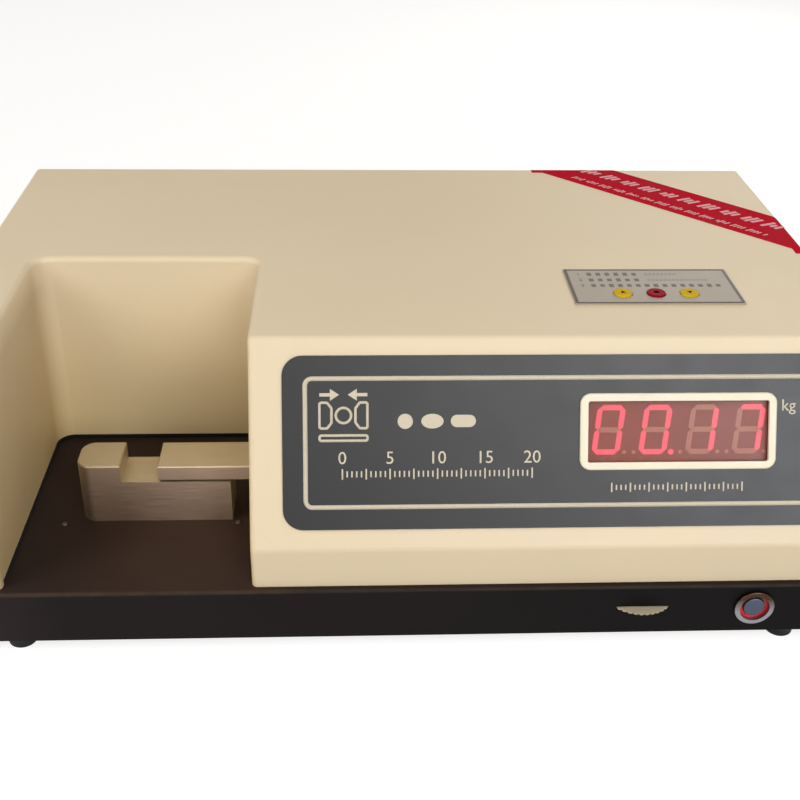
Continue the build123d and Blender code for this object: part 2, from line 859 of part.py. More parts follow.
def moving_jaw():
    """The flat bar that slides over the shelf, with a shank at its inner end for the push rod."""
    y_span = (axis_y - jaw_width / 2, axis_y + jaw_width / 2)
    tongue = block((jaw_tip_x, shank_x + cut_over), y_span, (jaw_low_z, jaw_low_z + jaw_height))
    tongue = chamfer(tongue.faces().sort_by(Axis.Z)[-1].edges(), jaw_edge)
    half = shank_height / 2
    body = tongue + block((shank_x, jaw_end_x), y_span, (axis_z - half, axis_z + half))
    socket = (jaw_end_x - rod_socket_depth, jaw_end_x + cut_over)
    return body - bar("X", (axis_y, axis_z), push_rod_radius, socket)


def push_rod():
    """The round rod from the jaw through the front block to the load cell."""
    span = (jaw_end_x - rod_socket_depth, cell_x + cell_wall)
    return bar("X", (axis_y, axis_z), push_rod_radius, span)


def load_cell():
    """The S-shaped force sensor between the push rod and the carriage, with the stud in the carriage."""
    half_w = cell_width / 2
    half_h = cell_height / 2
    body = block((cell_x, carriage_x), (axis_y - half_w, axis_y + half_w), (axis_z - half_h, axis_z + half_h))
    y_cut = (axis_y - half_w - cut_over, axis_y + half_w + cut_over)
    left = cell_x + cell_wall
    right = carriage_x - cell_wall
    bottom, top = axis_z - half_h, axis_z + half_h
    body -= block((left, left + cell_slot), y_cut, (bottom + cell_wall, top + cut_over))
    body -= block((right - cell_slot, right), y_cut, (bottom - cut_over, top - cell_wall))
    body -= bar("X", (axis_y, axis_z), push_rod_radius, (cell_x - cut_over, left))
    return body + bar("X", (axis_y, axis_z), stud_radius, (right, carriage_x + carriage_end_wall))


def rod_lines():
    """The y places of the two guide rods."""
    return (axis_y - guide_rod_spread, axis_y + guide_rod_spread)


def carriage():
    """The slide that the screw drives along the two guide rods, with the flag for the sensors."""
    half_w = carriage_width / 2
    half_h = carriage_height / 2
    body = block(
        (carriage_x, carriage_end_x), (axis_y - half_w, axis_y + half_w), (axis_z - half_h, axis_z + half_h)
    )
    ends = (carriage_x - cut_over, carriage_end_x + cut_over)
    for y in rod_lines():
        body -= bar("X", (y, axis_z), guide_rod_radius + bush_wall, ends)
    body -= bar("X", (axis_y, axis_z), stud_radius, (carriage_x - cut_over, carriage_x + carriage_end_wall))
    hollow = (carriage_x + carriage_end_wall, carriage_end_x)
    body -= bar("X", (axis_y, axis_z), screw_radius + screw_bore_gap, hollow)
    body -= bar("X", (axis_y, axis_z), nut_radius, (nut_x, carriage_end_x + cut_over))
    middle = (carriage_x + carriage_end_x) / 2
    front = axis_y - half_w
    body += block(
        (middle - flag_length / 2, middle + flag_length / 2),
        (front - flag_reach, front),
        (flag_z - flag_thickness / 2, flag_z + flag_thickness / 2),
    )
    return body


def lead_nut():
    """The flanged bronze nut in the carriage."""
    nut = bar("X", (axis_y, axis_z), nut_radius, (nut_x, carriage_end_x))
    flange = (carriage_end_x, carriage_end_x + nut_flange_thickness)
    nut += bar("X", (axis_y, axis_z), nut_flange_radius, flange)
    bore = (nut_x - cut_over, carriage_end_x + nut_flange_thickness + cut_over)
    return nut - bar("X", (axis_y, axis_z), screw_radius + running_gap, bore)


def slide_bushes():
    """Four plain bushes in the carriage, two on each guide rod."""
    made = []
    for y in rod_lines():
        for start in (carriage_x, carriage_end_x - bush_length):
            span = (start, start + bush_length)
            ring = bar("X", (y, axis_z), guide_rod_radius + bush_wall, span)
            bore = (span[0] - cut_over, span[1] + cut_over)
            made.append(ring - bar("X", (y, axis_z), guide_rod_radius + running_gap, bore))
    return grouped(made)


def end_block(start_x):
    """A block that stands on the drive's plate and holds the ends of both guide rods."""
    half = carriage_width / 2
    span = (start_x, start_x + end_block_thickness)
    top = chassis_top_z + end_block_height
    body = block(span, (axis_y - half, axis_y + half), (chassis_top_z, top))
    for y in rod_lines():
        body -= bar("X", (y, axis_z), guide_rod_radius, (span[0] - cut_over, span[1] + cut_over))
    return body


def front_block():
    """The end block beside the bay, bored for the push rod's bush."""
    hole = (front_block_x - cut_over, front_block_x + end_block_thickness + cut_over)
    return end_block(front_block_x) - bar("X", (axis_y, axis_z), push_rod_radius + push_bush_wall, hole)


def push_rod_bush():
    """The plain bush that the push rod slides in."""
    span = (front_block_x, front_block_x + end_block_thickness)
    ring = bar("X", (axis_y, axis_z), push_rod_radius + push_bush_wall, span)
    bore = (span[0] - cut_over, span[1] + cut_over)
    return ring - bar("X", (axis_y, axis_z), push_rod_radius + running_gap, bore)


def rear_block():
    """The end block at the motor's side, with a seat for the screw's bearing."""
    seat = (rear_block_end_x - bearing_width, rear_block_end_x + cut_over)
    body = end_block(rear_block_x) - bar("X", (axis_y, axis_z), bearing_radius, seat)
    through = (rear_block_x - cut_over, rear_block_end_x + cut_over)
    return body - bar("X", (axis_y, axis_z), screw_radius + screw_bore_gap, through)


def screw_bearing():
    """The ball bearing that carries the lead screw."""
    span = (rear_block_end_x - bearing_width, rear_block_end_x)
    ring = bar("X", (axis_y, axis_z), bearing_radius, span)
    bore = (span[0] - cut_over, span[1] + cut_over)
    return ring - bar("X", (axis_y, axis_z), screw_radius + running_gap, bore)


def guide_rod(y):
    """One of the two steel rods that the carriage slides on."""
    return bar("X", (y, axis_z), guide_rod_radius, (front_block_x, rear_block_end_x))


def lead_screw():
    """The screw that moves the carriage, from inside the carriage to the coupling."""
    start = carriage_x + carriage_end_wall + jaw_retract + stop_gap / 2
    return bar("X", (axis_y, axis_z), screw_radius, (start, coupling_x + coupling_length / 2 - cut_over))


def shaft_coupling():
    """The split coupling between the screw and the motor's shaft."""
    middle = coupling_x + coupling_length / 2
    body = bar("X", (axis_y, axis_z), coupling_radius, (coupling_x, coupling_end_x))
    body -= bar("X", (axis_y, axis_z), screw_radius, (coupling_x - cut_over, middle))
    body -= bar("X", (axis_y, axis_z), motor_shaft_radius, (middle - cut_over, coupling_end_x + cut_over))
    for x in (coupling_x + coupling_length / 4, coupling_end_x - coupling_length / 4):
        body -= block(
            (x - coupling_slit / 2, x + coupling_slit / 2),
            (axis_y - coupling_radius - cut_over, axis_y - screw_radius),
            (axis_z - coupling_radius, axis_z + coupling_radius),
        )
    return body


def motor_shaft():
    """The motor's output shaft, from inside its front cap to the coupling."""
    span = (coupling_x + coupling_length / 2 + cut_over, motor_x + motor_cap_length)
    return bar("X", (axis_y, axis_z), motor_shaft_radius, span)


def motor_screw_places():
    """Places across the motor's face of its four screws."""
    reach = motor_hole_spacing / 2
    return [(axis_y + dy, axis_z + dz) for dy, dz in mirrored(reach, reach)]


def motor_bracket():
    """The angle that holds the motor, one leg upright and one on the drive's plate."""
    half = motor_side / 2
    top = axis_z + half
    foot_top = chassis_top_z + motor_plate_thickness
    y_span = (axis_y - half, axis_y + half)
    plate = block((motor_plate_x, motor_x), y_span, (chassis_top_z, top))
    plate += block((motor_x - motor_foot_length, motor_x), y_span, (chassis_top_z, foot_top))
    through = (motor_plate_x - cut_over, motor_x + cut_over)
    plate -= bar("X", (axis_y, axis_z), motor_pilot_radius + clearance_gap, through)
    for place in motor_screw_places():
        plate -= bar("X", place, screw_shank_radius + clearance_gap, through)
    return plate


def drive_motor():
    """The square stepper motor with its pilot ring, its shaft's bore and its screw holes."""
    half = motor_side / 2
    body = block((motor_x, motor_end_x), (axis_y - half, axis_y + half), (axis_z - half, axis_z + half))
    body = chamfer(body.edges().filter_by(Axis.X), motor_corner)
    body += bar("X", (axis_y, axis_z), motor_pilot_radius, (motor_x - motor_pilot_height, motor_x))
    bore = (motor_x - motor_pilot_height - cut_over, motor_x + motor_cap_length + running_gap)
    body -= bar("X", (axis_y, axis_z), motor_shaft_radius + running_gap, bore)
    screw_span = (motor_x - cut_over, motor_x + short_screw_length)
    for place in motor_screw_places():
        body -= bar("X", place, screw_shank_radius + pilot_gap, screw_span)
    return body


def short_screws():
    """Screws through the motor's bracket and through the inlet's flange, all alike."""
    one = small_screw(short_screw_length)
    made = [Pos(motor_plate_x, y, z) * Rot(0, 90, 0) * one for y, z in motor_screw_places()]
    face = rear_panel_y + inlet_flange_thickness
    made += [Pos(x, face, rear_axis_z) * Rot(90, 0, 0) * one for x in inlet_screw_lines()]
    return grouped(made)


def drive_chassis():
    """The steel plate that carries the whole drive on the deck."""
    y_span = (chassis_front_y, chassis_front_y + chassis_width)
    plate = block((chassis_start_x, chassis_end_x), y_span, (deck_z, chassis_top_z))
    screw_span = (deck_z - cut_over, chassis_top_z + cut_over)
    for place in chassis_screw_places():
        plate -= bar("Z", place, screw_shank_radius + pilot_gap, screw_span)
    return plate


def travel_sensor(start_x):
    """A light gate on the drive's plate, with a slot that the carriage's flag passes through."""
    y_high = axis_y - carriage_width / 2 - sensor_from_carriage
    body = block(
        (start_x, start_x + sensor_length),
        (y_high - sensor_depth, y_high),
        (chassis_top_z, chassis_top_z + sensor_height),
    )
    return body - block(
        (start_x - cut_over, start_x + sensor_length + cut_over),
        (y_high - sensor_slot_depth, y_high + cut_over),
        (flag_z - sensor_slot / 2, flag_z + sensor_slot / 2),
    )


def travel_sensors():
    """The two light gates, one that sees the flag when the jaw is closed and one when it is fully open."""
    flag_low = (carriage_x + carriage_end_x - flag_length) / 2 - jaw_travel
    flag_high = (carriage_x + carriage_end_x + flag_length) / 2 + jaw_retract
    closed = travel_sensor(flag_low + sensor_overlap - sensor_length)
    return grouped([closed, travel_sensor(flag_high - sensor_overlap)])


def button_bezel():
    """The metal bezel and threaded barrel of the power button."""
    face = -half_depth
    centre = (button_x, button_z)
    ring = bar("Y", centre, button_bezel_radius, (face - button_bezel_height, face))
    ring = fillet(ring.edges().sort_by(Axis.Y)[0], button_rim)
    ring += bar("Y", centre, button_barrel_radius, (face, face + button_barrel_length))
    return ring - bar("Y", centre, lens_radius, (face - button_bezel_height - cut_over, lens_end_y))


def button_lens():
    """The red ring that lights up round the button's cap."""
    face = -half_depth - button_bezel_height + lens_recess
    centre = (button_x, button_z)
    ring = bar("Y", centre, lens_radius, (face, lens_end_y))
    bore = (face - cut_over, lens_end_y + cut_over)
    return ring - bar("Y", centre, button_cap_radius + button_gap, bore)


def button_cap():
    """The metal cap that is pressed."""
    span = (button_face_y, button_face_y + button_cap_length)
    cap = bar("Y", (button_x, button_z), button_cap_radius, span)
    return fillet(cap.edges().sort_by(Axis.Y)[0], button_rim)


def zero_wheel():
    """The knurled wheel whose edge shows in the base's front."""
    centre = (wheel_x, wheel_y)
    wheel = bar("Z", centre, wheel_radius, (wheel_low_z, wheel_top_z))
    for number in range(wheel_notches):
        angle = 2 * math.pi * number / wheel_notches
        rim = (wheel_x + wheel_radius * math.cos(angle), wheel_y + wheel_radius * math.sin(angle))
        wheel -= bar("Z", rim, wheel_notch_radius, (wheel_low_z - cut_over, wheel_top_z + cut_over))
    wheel += bar("Z", centre, wheel_hub_radius, (wheel_low_z - wheel_hub_drop, wheel_low_z))
    stem_low = foot_height + bottom_plate_thickness + pot_floor + running_gap
    return wheel + bar("Z", centre, wheel_shaft_radius, (stem_low, wheel_low_z))


def zero_potentiometer():
    """The potentiometer under the wheel, fixed on the bottom plate and bored for the wheel's stem."""
    low = foot_height + bottom_plate_thickness
    high = wheel_low_z - wheel_hub_drop - pot_top_gap
    front = -half_depth + base_wall + pot_wall_gap
    case = block((wheel_x - pot_side / 2, wheel_x + pot_side / 2), (front, front + pot_side), (low, high))
    bore = (low + pot_floor, high + cut_over)
    return case - bar("Z", (wheel_x, wheel_y), wheel_shaft_radius + running_gap, bore)


def inlet_screw_lines():
    """The x places of the two screws that hold the inlet."""
    return (inlet_x - inlet_screw_spacing / 2, inlet_x + inlet_screw_spacing / 2)


def rear_panel():
    """The bent metal panel that stands on the deck behind the cover's rear opening."""
    x_span = (rear_panel_x, rear_panel_x + 2 * rear_panel_half)
    low_y = rear_panel_y - rear_panel_thickness
    top = rear_low_z + rear_opening_height + rear_panel_margin
    panel = block(x_span, (low_y, rear_panel_y), (deck_z, top))
    panel += block(x_span, (low_y - rear_panel_foot, low_y), (deck_z, deck_z + rear_panel_thickness))
    through = (low_y - cut_over, rear_panel_y + cut_over)
    half_w = inlet_body_width / 2 + clearance_gap
    half_h = inlet_body_height / 2 + clearance_gap
    inlet_height = (rear_axis_z - half_h, rear_axis_z + half_h)
    panel -= block((inlet_x - half_w, inlet_x + half_w), through, inlet_height)
    panel -= bar("Y", (fuse_x, rear_axis_z), fuse_barrel_radius + clearance_gap, through)
    for x in inlet_screw_lines():
        panel -= bar("Y", (x, rear_axis_z), screw_shank_radius + pilot_gap, through)
    vent_x = rear_panel_x + 2 * rear_panel_half * vent_centre_share
    for number in range(vent_count):
        x = vent_x + (number - (vent_count - 1) / 2) * vent_pitch
        low, high = rear_axis_z - vent_height / 2, rear_axis_z + vent_height / 2
        panel -= block((x - vent_width / 2, x + vent_width / 2), through, (low, high))
    return panel


def socket_space():
    """The room inside the inlet, with its two upper corners cut off."""
    face = rear_panel_y + inlet_flange_thickness
    half_w = socket_width / 2
    half_h = socket_height / 2
    room = block(
        (inlet_x - half_w, inlet_x + half_w),
        (face - socket_depth, face + cut_over),
        (rear_axis_z - half_h, rear_axis_z + half_h),
    )
    upper = room.edges().filter_by(Axis.Y).group_by(Axis.Z)[-1]
    return chamfer(upper, socket_bevel)


def mains_inlet():
    """The three-pin inlet's moulding, screwed to the rear panel from outside."""
    face = rear_panel_y + inlet_flange_thickness
    flange = Pos(inlet_x, rear_panel_y, rear_axis_z) * Rot(-90, 0, 0) * rounded_plate(
        inlet_width, inlet_height, socket_bevel, inlet_flange_thickness
    )
    half_w = inlet_body_width / 2
    half_h = inlet_body_height / 2
    body = block(
        (inlet_x - half_w, inlet_x + half_w),
        (face - inlet_body_depth, rear_panel_y),
        (rear_axis_z - half_h, rear_axis_z + half_h),
    )
    body = body + flange - socket_space()
    through = (rear_panel_y - cut_over, face + cut_over)
    for x in inlet_screw_lines():
        body -= bar("Y", (x, rear_axis_z), screw_shank_radius + clearance_gap, through)
    return body


def inlet_pins():
    """The inlet's three flat pins."""
    floor = rear_panel_y + inlet_flange_thickness - socket_depth
    places = [(-pin_spread, -pin_raise), (pin_spread, -pin_raise), (0, pin_raise)]
    pins = []
    for dx, dz in places:
        x, z = inlet_x + dx, rear_axis_z + dz
        pins.append(
            block(
                (x - pin_thickness / 2, x + pin_thickness / 2),
                (floor, floor + pin_length),
                (z - pin_width / 2, z + pin_width / 2),
            )
        )
    return grouped(pins)


def fuse_holder():
    """The fuse holder's flange, barrel and nut in the rear panel."""
    centre = (fuse_x, rear_axis_z)
    face = rear_panel_y + fuse_flange_thickness
    inner = rear_panel_y - rear_panel_thickness
    body = bar("Y", centre, fuse_flange_radius, (rear_panel_y, face))
    body += bar("Y", centre, fuse_barrel_radius, (face - fuse_barrel_length, rear_panel_y))
    body += bar("Y", centre, fuse_flange_radius, (inner - fuse_nut_thickness, inner))
    bore = (face - fuse_barrel_length + fuse_bore_end, face + cut_over)
    return body - bar("Y", centre, fuse_bore_radius, bore)


def fuse_cap():
    """The round cap of the fuse holder, with a slot for a coin."""
    centre = (fuse_x, rear_axis_z)
    low = rear_panel_y + fuse_flange_thickness + film_gap
    high = low + fuse_cap_length
    cap = bar("Y", centre, fuse_cap_radius, (low, high))
    cap = fillet(cap.edges().sort_by(Axis.Y)[-1], button_rim)
    return cap - block(
        (fuse_x - fuse_cap_slot / 2, fuse_x + fuse_cap_slot / 2),
        (high - fuse_cap_slot_depth, high + cut_over),
        (rear_axis_z - fuse_cap_radius - cut_over, rear_axis_z + fuse_cap_radius + cut_over),
    )


def main_board():
    """The main circuit board on the base's four posts."""
    low = deck_z + board_lift
    return block(
        (board_left_x, board_left_x + board_width),
        (board_front_y, board_front_y + board_depth),
        (low, low + board_thickness),
    )


def board_place(shares):
    """A place on the main board from shares of its width and depth."""
    return (board_left_x + board_width * shares[0], board_front_y + board_depth * shares[1])


def board_item(centre, size_shares, height):
    """A flat component standing on the main board."""
    half_w = board_width * size_shares[0] / 2
    half_d = board_depth * size_shares[1] / 2
    low = deck_z + board_lift + board_thickness
    x, y = board_place(centre)
    return block((x - half_w, x + half_w), (y - half_d, y + half_d), (low, low + height))


def board_components():
    """The integrated circuits and the two smoothing capacitors on the main board."""
    made = [board_item(c, s, chip_height) for c, s in zip(chip_place_shares, chip_size_shares)]
    low = deck_z + board_lift + board_thickness
    for shares in capacitor_place_shares:
        can = bar("Z", board_place(shares), capacitor_radius, (low, low + capacitor_height))
        made.append(fillet(can.edges().sort_by(Axis.Z)[-1], capacitor_rim))
    return grouped(made)


def transformer_core():
    """The transformer's laminated core with its two windows and its screw-down feet."""
    x_span = (core_x - core_width / 2, core_x + core_width / 2)
    y_span = (core_y - core_depth / 2, core_y + core_depth / 2)
    body = block(x_span, y_span, (deck_z, deck_z + core_height))
    rim = (core_height - core_window_height) / 2
    window_z = (deck_z + rim, deck_z + rim + core_window_height)
    leg = core_width / 4
    y_cut = (y_span[0] - cut_over, y_span[1] + cut_over)
    for inner in (core_x - leg / 2 - core_window_width, core_x + leg / 2):
        body -= block((inner, inner + core_window_width), y_cut, window_z)
    foot_x = (x_span[0] - core_foot_reach, x_span[1] + core_foot_reach)
    return body + block(foot_x, y_span, (deck_z, deck_z + core_foot_thickness))


def transformer_coil():
    """The winding round the core's middle leg."""
    leg = core_width / 4
    rim = (core_height - core_window_height) / 2
    z_span = (deck_z + rim + winding_gap, deck_z + rim + core_window_height - winding_gap)
    reach_x = leg / 2 + core_window_width - winding_gap
    reach_y = core_depth / 2 + coil_bulge
    coil = block((core_x - reach_x, core_x + reach_x), (core_y - reach_y, core_y + reach_y), z_span)
    coil = fillet(coil.edges().filter_by(Axis.Z), coil_bulge / 2)
    return coil - block(
        (core_x - leg / 2 - winding_gap, core_x + leg / 2 + winding_gap),
        (core_y - core_depth / 2 - winding_gap, core_y + core_depth / 2 + winding_gap),
        (z_span[0] - cut_over, z_span[1] + cut_over),
    )


def tape_strip(plane, edge_place):
    """A strip at 45 degrees over a side face, from above its upper edge down to the flap's square end."""
    long = tape_width + tape_flap
    strip = Pos(long / 2 - tape_width, 0) * Rectangle(long, tape_width)
    face = plane * Pos(edge_place, 0) * Rot(0, 0, 45) * strip
    return extrude(face, amount=2 * cover_ledge, both=True)


def seal_tape():
    """The red film across the top's rear right corner, folded down over the side and the back."""
    cross_y = cover_back_y - tape_corner_offset
    cross_x = cover_half_width - tape_corner_offset
    middle = ((cover_half_width + cross_x) / 2, (cover_back_y + cross_y) / 2)
    top_length = math.hypot(tape_corner_offset, tape_corner_offset) + 2 * tape_width
    strip = Pos(*middle, top_z - cover_round / 2) * Rot(0, 0, -45) * Rectangle(top_length, tape_width)
    region = extrude(strip, amount=2 * cover_round, dir=(0, 0, 1))
    side = Plane(origin=(cover_half_width, 0, top_z), x_dir=(0, -1, 0), z_dir=(1, 0, 0))
    back = Plane(origin=(0, cover_back_y, top_z), x_dir=(-1, 0, 0), z_dir=(0, -1, 0))
    region += tape_strip(side, -cross_y)
    region += tape_strip(back, -cross_x)
    return (cover_form(-tape_thickness) & region) - cover_form(0)


def all_parts():
    """Every node's name with its shape."""
    parts = {
        "base_tray": base_tray(),
        "bottom_plate": bottom_plate(),
        "bottom_screws": bottom_screws(),
        "top_cover": top_cover(),
        "under_deck_screws": under_deck_screws(),
        "front_panel": front_panel(),
        "display_bezel": display_bezel(),
        "display_window": display_window(),
        "display_board": display_board(),
        "keypad_plate": keypad_plate(),
        "key_switches": key_switches(),
        "key_board": key_board(),
        "anvil_block": anvil_block(),
        "deck_screws": deck_screws(),
        "moving_jaw": moving_jaw(),
        "push_rod": push_rod(),
        "load_cell": load_cell(),
        "carriage": carriage(),
        "lead_nut": lead_nut(),
        "slide_bushes": slide_bushes(),
        "front_block": front_block(),
        "push_rod_bush": push_rod_bush(),
        "rear_block": rear_block(),
        "screw_bearing": screw_bearing(),
        "lead_screw": lead_screw(),
        "shaft_coupling": shaft_coupling(),
        "motor_shaft": motor_shaft(),
        "motor_bracket": motor_bracket(),
        "drive_motor": drive_motor(),
        "short_screws": short_screws(),
        "drive_chassis": drive_chassis(),
        "travel_sensors": travel_sensors(),
        "button_bezel": button_bezel(),
        "button_lens": button_lens(),
        "button_cap": button_cap(),
        "zero_wheel": zero_wheel(),
        "zero_potentiometer": zero_potentiometer(),
        "rear_panel": rear_panel(),
        "mains_inlet": mains_inlet(),
        "inlet_pins": inlet_pins(),
        "fuse_holder": fuse_holder(),
        "fuse_cap": fuse_cap(),
        "main_board": main_board(),
        "board_components": board_components(),
        "transformer_core": transformer_core(),
        "transformer_coil": transformer_coil(),
        "seal_tape": seal_tape(),
    }
    for number, place in enumerate(foot_places(), start=1):
        parts[f"foot_{number}"] = rubber_foot(place)
    for number in range(1, digit_count + 1):
        parts[f"digit_{number}"] = digit_module(number)
    for number, place in enumerate(key_places(), start=1):
        parts[f"key_cap_{number}"] = key_cap(place)
    for number, line in enumerate(rod_lines(), start=1):
        parts[f"guide_rod_{number}"] = guide_rod(line)
    return parts


if __name__ == "__main__":
    os.makedirs("parts", exist_ok=True)
    for node, shape in all_parts().items():
        export_step(shape, f"parts/{node}.step")
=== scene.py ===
"""Looks of a tablet hardness tester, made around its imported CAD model.

Sizes are in millimetres and are turned into metres where a mesh is settled into the shared frame.
"""

from __future__ import annotations

import json
import logging
import math
from collections.abc import Iterable, Mapping, Sequence
from dataclasses import dataclass, field
from enum import Enum
from typing import Any

import bmesh
import bpy
from mathutils import Matrix, Vector


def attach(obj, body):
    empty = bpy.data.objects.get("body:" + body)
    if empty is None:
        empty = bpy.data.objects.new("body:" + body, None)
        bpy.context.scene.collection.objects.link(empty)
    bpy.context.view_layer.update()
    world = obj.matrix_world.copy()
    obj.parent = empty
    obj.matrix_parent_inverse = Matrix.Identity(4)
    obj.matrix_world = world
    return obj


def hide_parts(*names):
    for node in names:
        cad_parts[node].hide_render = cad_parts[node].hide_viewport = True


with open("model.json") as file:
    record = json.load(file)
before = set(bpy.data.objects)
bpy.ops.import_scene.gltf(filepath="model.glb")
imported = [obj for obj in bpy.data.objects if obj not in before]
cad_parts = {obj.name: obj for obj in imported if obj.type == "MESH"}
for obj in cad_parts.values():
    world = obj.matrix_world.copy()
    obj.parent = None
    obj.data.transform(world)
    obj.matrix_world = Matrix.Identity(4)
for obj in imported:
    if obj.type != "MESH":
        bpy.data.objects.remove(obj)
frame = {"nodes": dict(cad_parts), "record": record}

MM = 0.001
WHITE = (1.0, 1.0, 1.0, 1.0)
Pair = tuple[float, float]
Triple = tuple[float, float, float]
Colour = tuple[float, float, float, float]
log = logging.getLogger("tester")


# Colours and node trees


@dataclass(frozen=True)
class Tint:
    """A colour in screen values from 0 to 255."""

    red: float
    green: float
    blue: float

    def linear(self, factor: float = 1.0) -> Colour:
        """The colour in light values.

        Args:
            factor: What each value is multiplied by.

        Returns:
            Red, green and blue up to 1, and a cover of 1.
        """
        made = []
        for value in (self.red, self.green, self.blue):
            share = value / 255
            light = share / 12.92 if share <= 0.04045 else ((share + 0.055) / 1.055) ** 2.4
            made.append(min(light * factor, 1.0))
        return (made[0], made[1], made[2], 1.0)


# Where most values of a noise lie
MIDDLE: Pair = (0.3, 0.7)

# Painted shade over the top of a metal part.
TOP_SHADE = Tint(70, 52, 40)
# Painted shade over the top of a lit ring.
LENS_SHADE = Tint(84, 50, 36)


class Tree:
    """A node tree, with short calls that add, link and set its nodes."""

    def __init__(self, tree: bpy.types.NodeTree) -> None:
        """Takes hold of the tree."""
        self.tree = tree

    def feed(self, socket: Any, value: Any) -> None:
        """Links a socket to another one, or sets its value.

        Args:
            socket: The socket that is fed.
            value: Another socket, or a plain value.
        """
        if isinstance(value, bpy.types.NodeSocket):
            self.tree.links.new(value, socket)
        else:
            socket.default_value = value

    def add(self, kind: str, inputs: Mapping[Any, Any] | None = None, **settings: Any) -> Any:
        """Adds a node.

        Args:
            kind: The node's type.
            inputs: Values or sockets by input name or number.
            **settings: Properties of the node itself.

        Returns:
            The node.
        """
        node = self.tree.nodes.new(kind)
        for key, value in settings.items():
            setattr(node, key, value)
        for key, value in (inputs or {}).items():
            self.feed(node.inputs[key], value)
        return node

    def maths(self, way: str, first: Any, second: Any = 0.0) -> Any:
        """One step of arithmetic on two values."""
        return self.add("ShaderNodeMath", {0: first, 1: second}, operation=way).outputs[0]

    def product(self, *values: Any) -> Any:
        """Several values multiplied.

        Args:
            *values: Sockets or plain values.

        Returns:
            The socket of the product.
        """
        total = values[0]
        for value in values[1:]:
            total = self.maths("MULTIPLY", total, value)
        return total


class Bench(Tree):
    """One material's node tree, with the nodes that the finishes share."""

    def __init__(self, name: str) -> None:
        """Starts a material.

        Args:
            name: The material's name.
        """
        self.material = bpy.data.materials.new(name)
        self.material.use_nodes = True
        super().__init__(self.material.node_tree)
        self.shader = self.tree.nodes["Principled BSDF"]
        self.place = self.add("ShaderNodeTexCoord").outputs["Object"]

    def give(self, values: Mapping[str, Any]) -> None:
        """Links or sets inputs of the shader."""
        for name, value in values.items():
            self.feed(self.shader.inputs[name], value)

    def stretched(self, factors: Triple, turn_degrees: Triple = (0, 0, 0)) -> Any:
        """Object coordinates, scaled by the factors after a turn."""
        inputs = {"Vector": self.place, "Scale": factors, "Rotation": tuple(map(math.radians, turn_degrees))}
        return self.add("ShaderNodeMapping", inputs).outputs["Vector"]

    def noise(self, size_mm: float, detail: float, place: Any = None) -> Any:
        """A noise whose features have about that size.

        Args:
            size_mm: The size of the features.
            detail: How many finer layers are added.
            place: The coordinates, or None for the object's own.

        Returns:
            The socket of the noise's value.
        """
        vector = self.place if place is None else place
        inputs = {"Vector": vector, "Scale": 1 / (size_mm * MM), "Detail": detail}
        return self.add("ShaderNodeTexNoise", inputs).outputs["Fac"]

    def spread(self, factor: Any, source: Pair, target: Pair) -> Any:
        """A factor moved from one range to another, and kept inside it."""
        inputs = {0: factor, 1: source[0], 2: source[1], 3: target[0], 4: target[1]}
        return self.add("ShaderNodeMapRange", inputs, clamp=True).outputs[0]

    def varied(self, size_mm: float, detail: float, source: Pair, target: Pair) -> Any:
        """A noise moved from one range to another."""
        return self.spread(self.noise(size_mm, detail), source, target)

    def axis(self, letter: str, space: str = "Object") -> Any:
        """One part of the object's coordinates, or of the surface's normal."""
        vector = self.place if space == "Object" else self.add("ShaderNodeTexCoord").outputs[space]
        return self.add("ShaderNodeSeparateXYZ", {0: vector}).outputs[letter]

    def between(self, letter: str, first_mm: float, last_mm: float, target: Pair = (0.0, 1.0)) -> Any:
        """A value that changes from one place to another along an axis."""
        return self.spread(self.axis(letter), (first_mm * MM, last_mm * MM), target)

    def ramp(self, factor: Any, stops: Sequence[tuple[float, Colour]]) -> Any:
        """A colour ramp over a factor.

        Args:
            factor: The socket that drives it.
            stops: Places from 0 to 1 with their colours.

        Returns:
            The socket of the colour.
        """
        node = self.add("ShaderNodeValToRGB", {"Fac": factor})
        elements = node.color_ramp.elements
        for number, (place, colour) in enumerate(stops):
            element = elements[number] if number < len(elements) else elements.new(place)
            element.position = place
            element.color = colour
        return node.outputs["Color"]

    def shades(self, factor: Any, colour: Tint, low: float, high: float = 1.0, ends: Pair = MIDDLE) -> Any:
        """A colour between two shades of itself, as a factor says."""
        return self.ramp(factor, [(ends[0], colour.linear(low)), (ends[1], colour.linear(high))])

    def along_x(self, stops: Sequence[tuple[float, Tint | float]]) -> Any:
        """A tint that changes along x.

        Args:
            stops: Places in millimetres, each with a tint or with a grey from 0 to 1.

        Returns:
            The socket of the tint.
        """
        first, last = stops[0][0], stops[-1][0]
        made = []
        for x, tint in stops:
            colour = tint.linear() if isinstance(tint, Tint) else (tint, tint, tint, 1.0)
            made.append(((x - first) / (last - first), colour))
        return self.ramp(self.between("X", first, last), made)

    def mixed(self, factor: Any, first: Any, second: Any, blend: str = "MIX") -> Any:
        """Two colours mixed by a factor."""
        inputs = {0: factor, 6: first, 7: second}
        return self.add("ShaderNodeMix", inputs, data_type="RGBA", blend_type=blend).outputs[2]

    def tinted(self, factor: Any, first: Any, second: Any) -> Any:
        """A colour multiplied by a tint, as far as the factor says."""
        return self.mixed(factor, first, second, "MULTIPLY")

    def bumped(self, height: Any, depth_mm: float, strength: float) -> None:
        """Bends the shader's normal by a height from 0 to 1, where 1 is that deep."""
        inputs = {"Height": height, "Distance": depth_mm * MM, "Strength": strength}
        self.give({"Normal": self.add("ShaderNodeBump", inputs).outputs["Normal"]})


# Finishes


class Brush(Enum):
    """The direction in which a metal was brushed, as a stretch of the grain along each axis."""

    ALONG_X = (0.02, 1.0, 1.0)
    ALONG_Y = (1.0, 0.02, 1.0)
    CAST = (1.0, 1.0, 1.0)


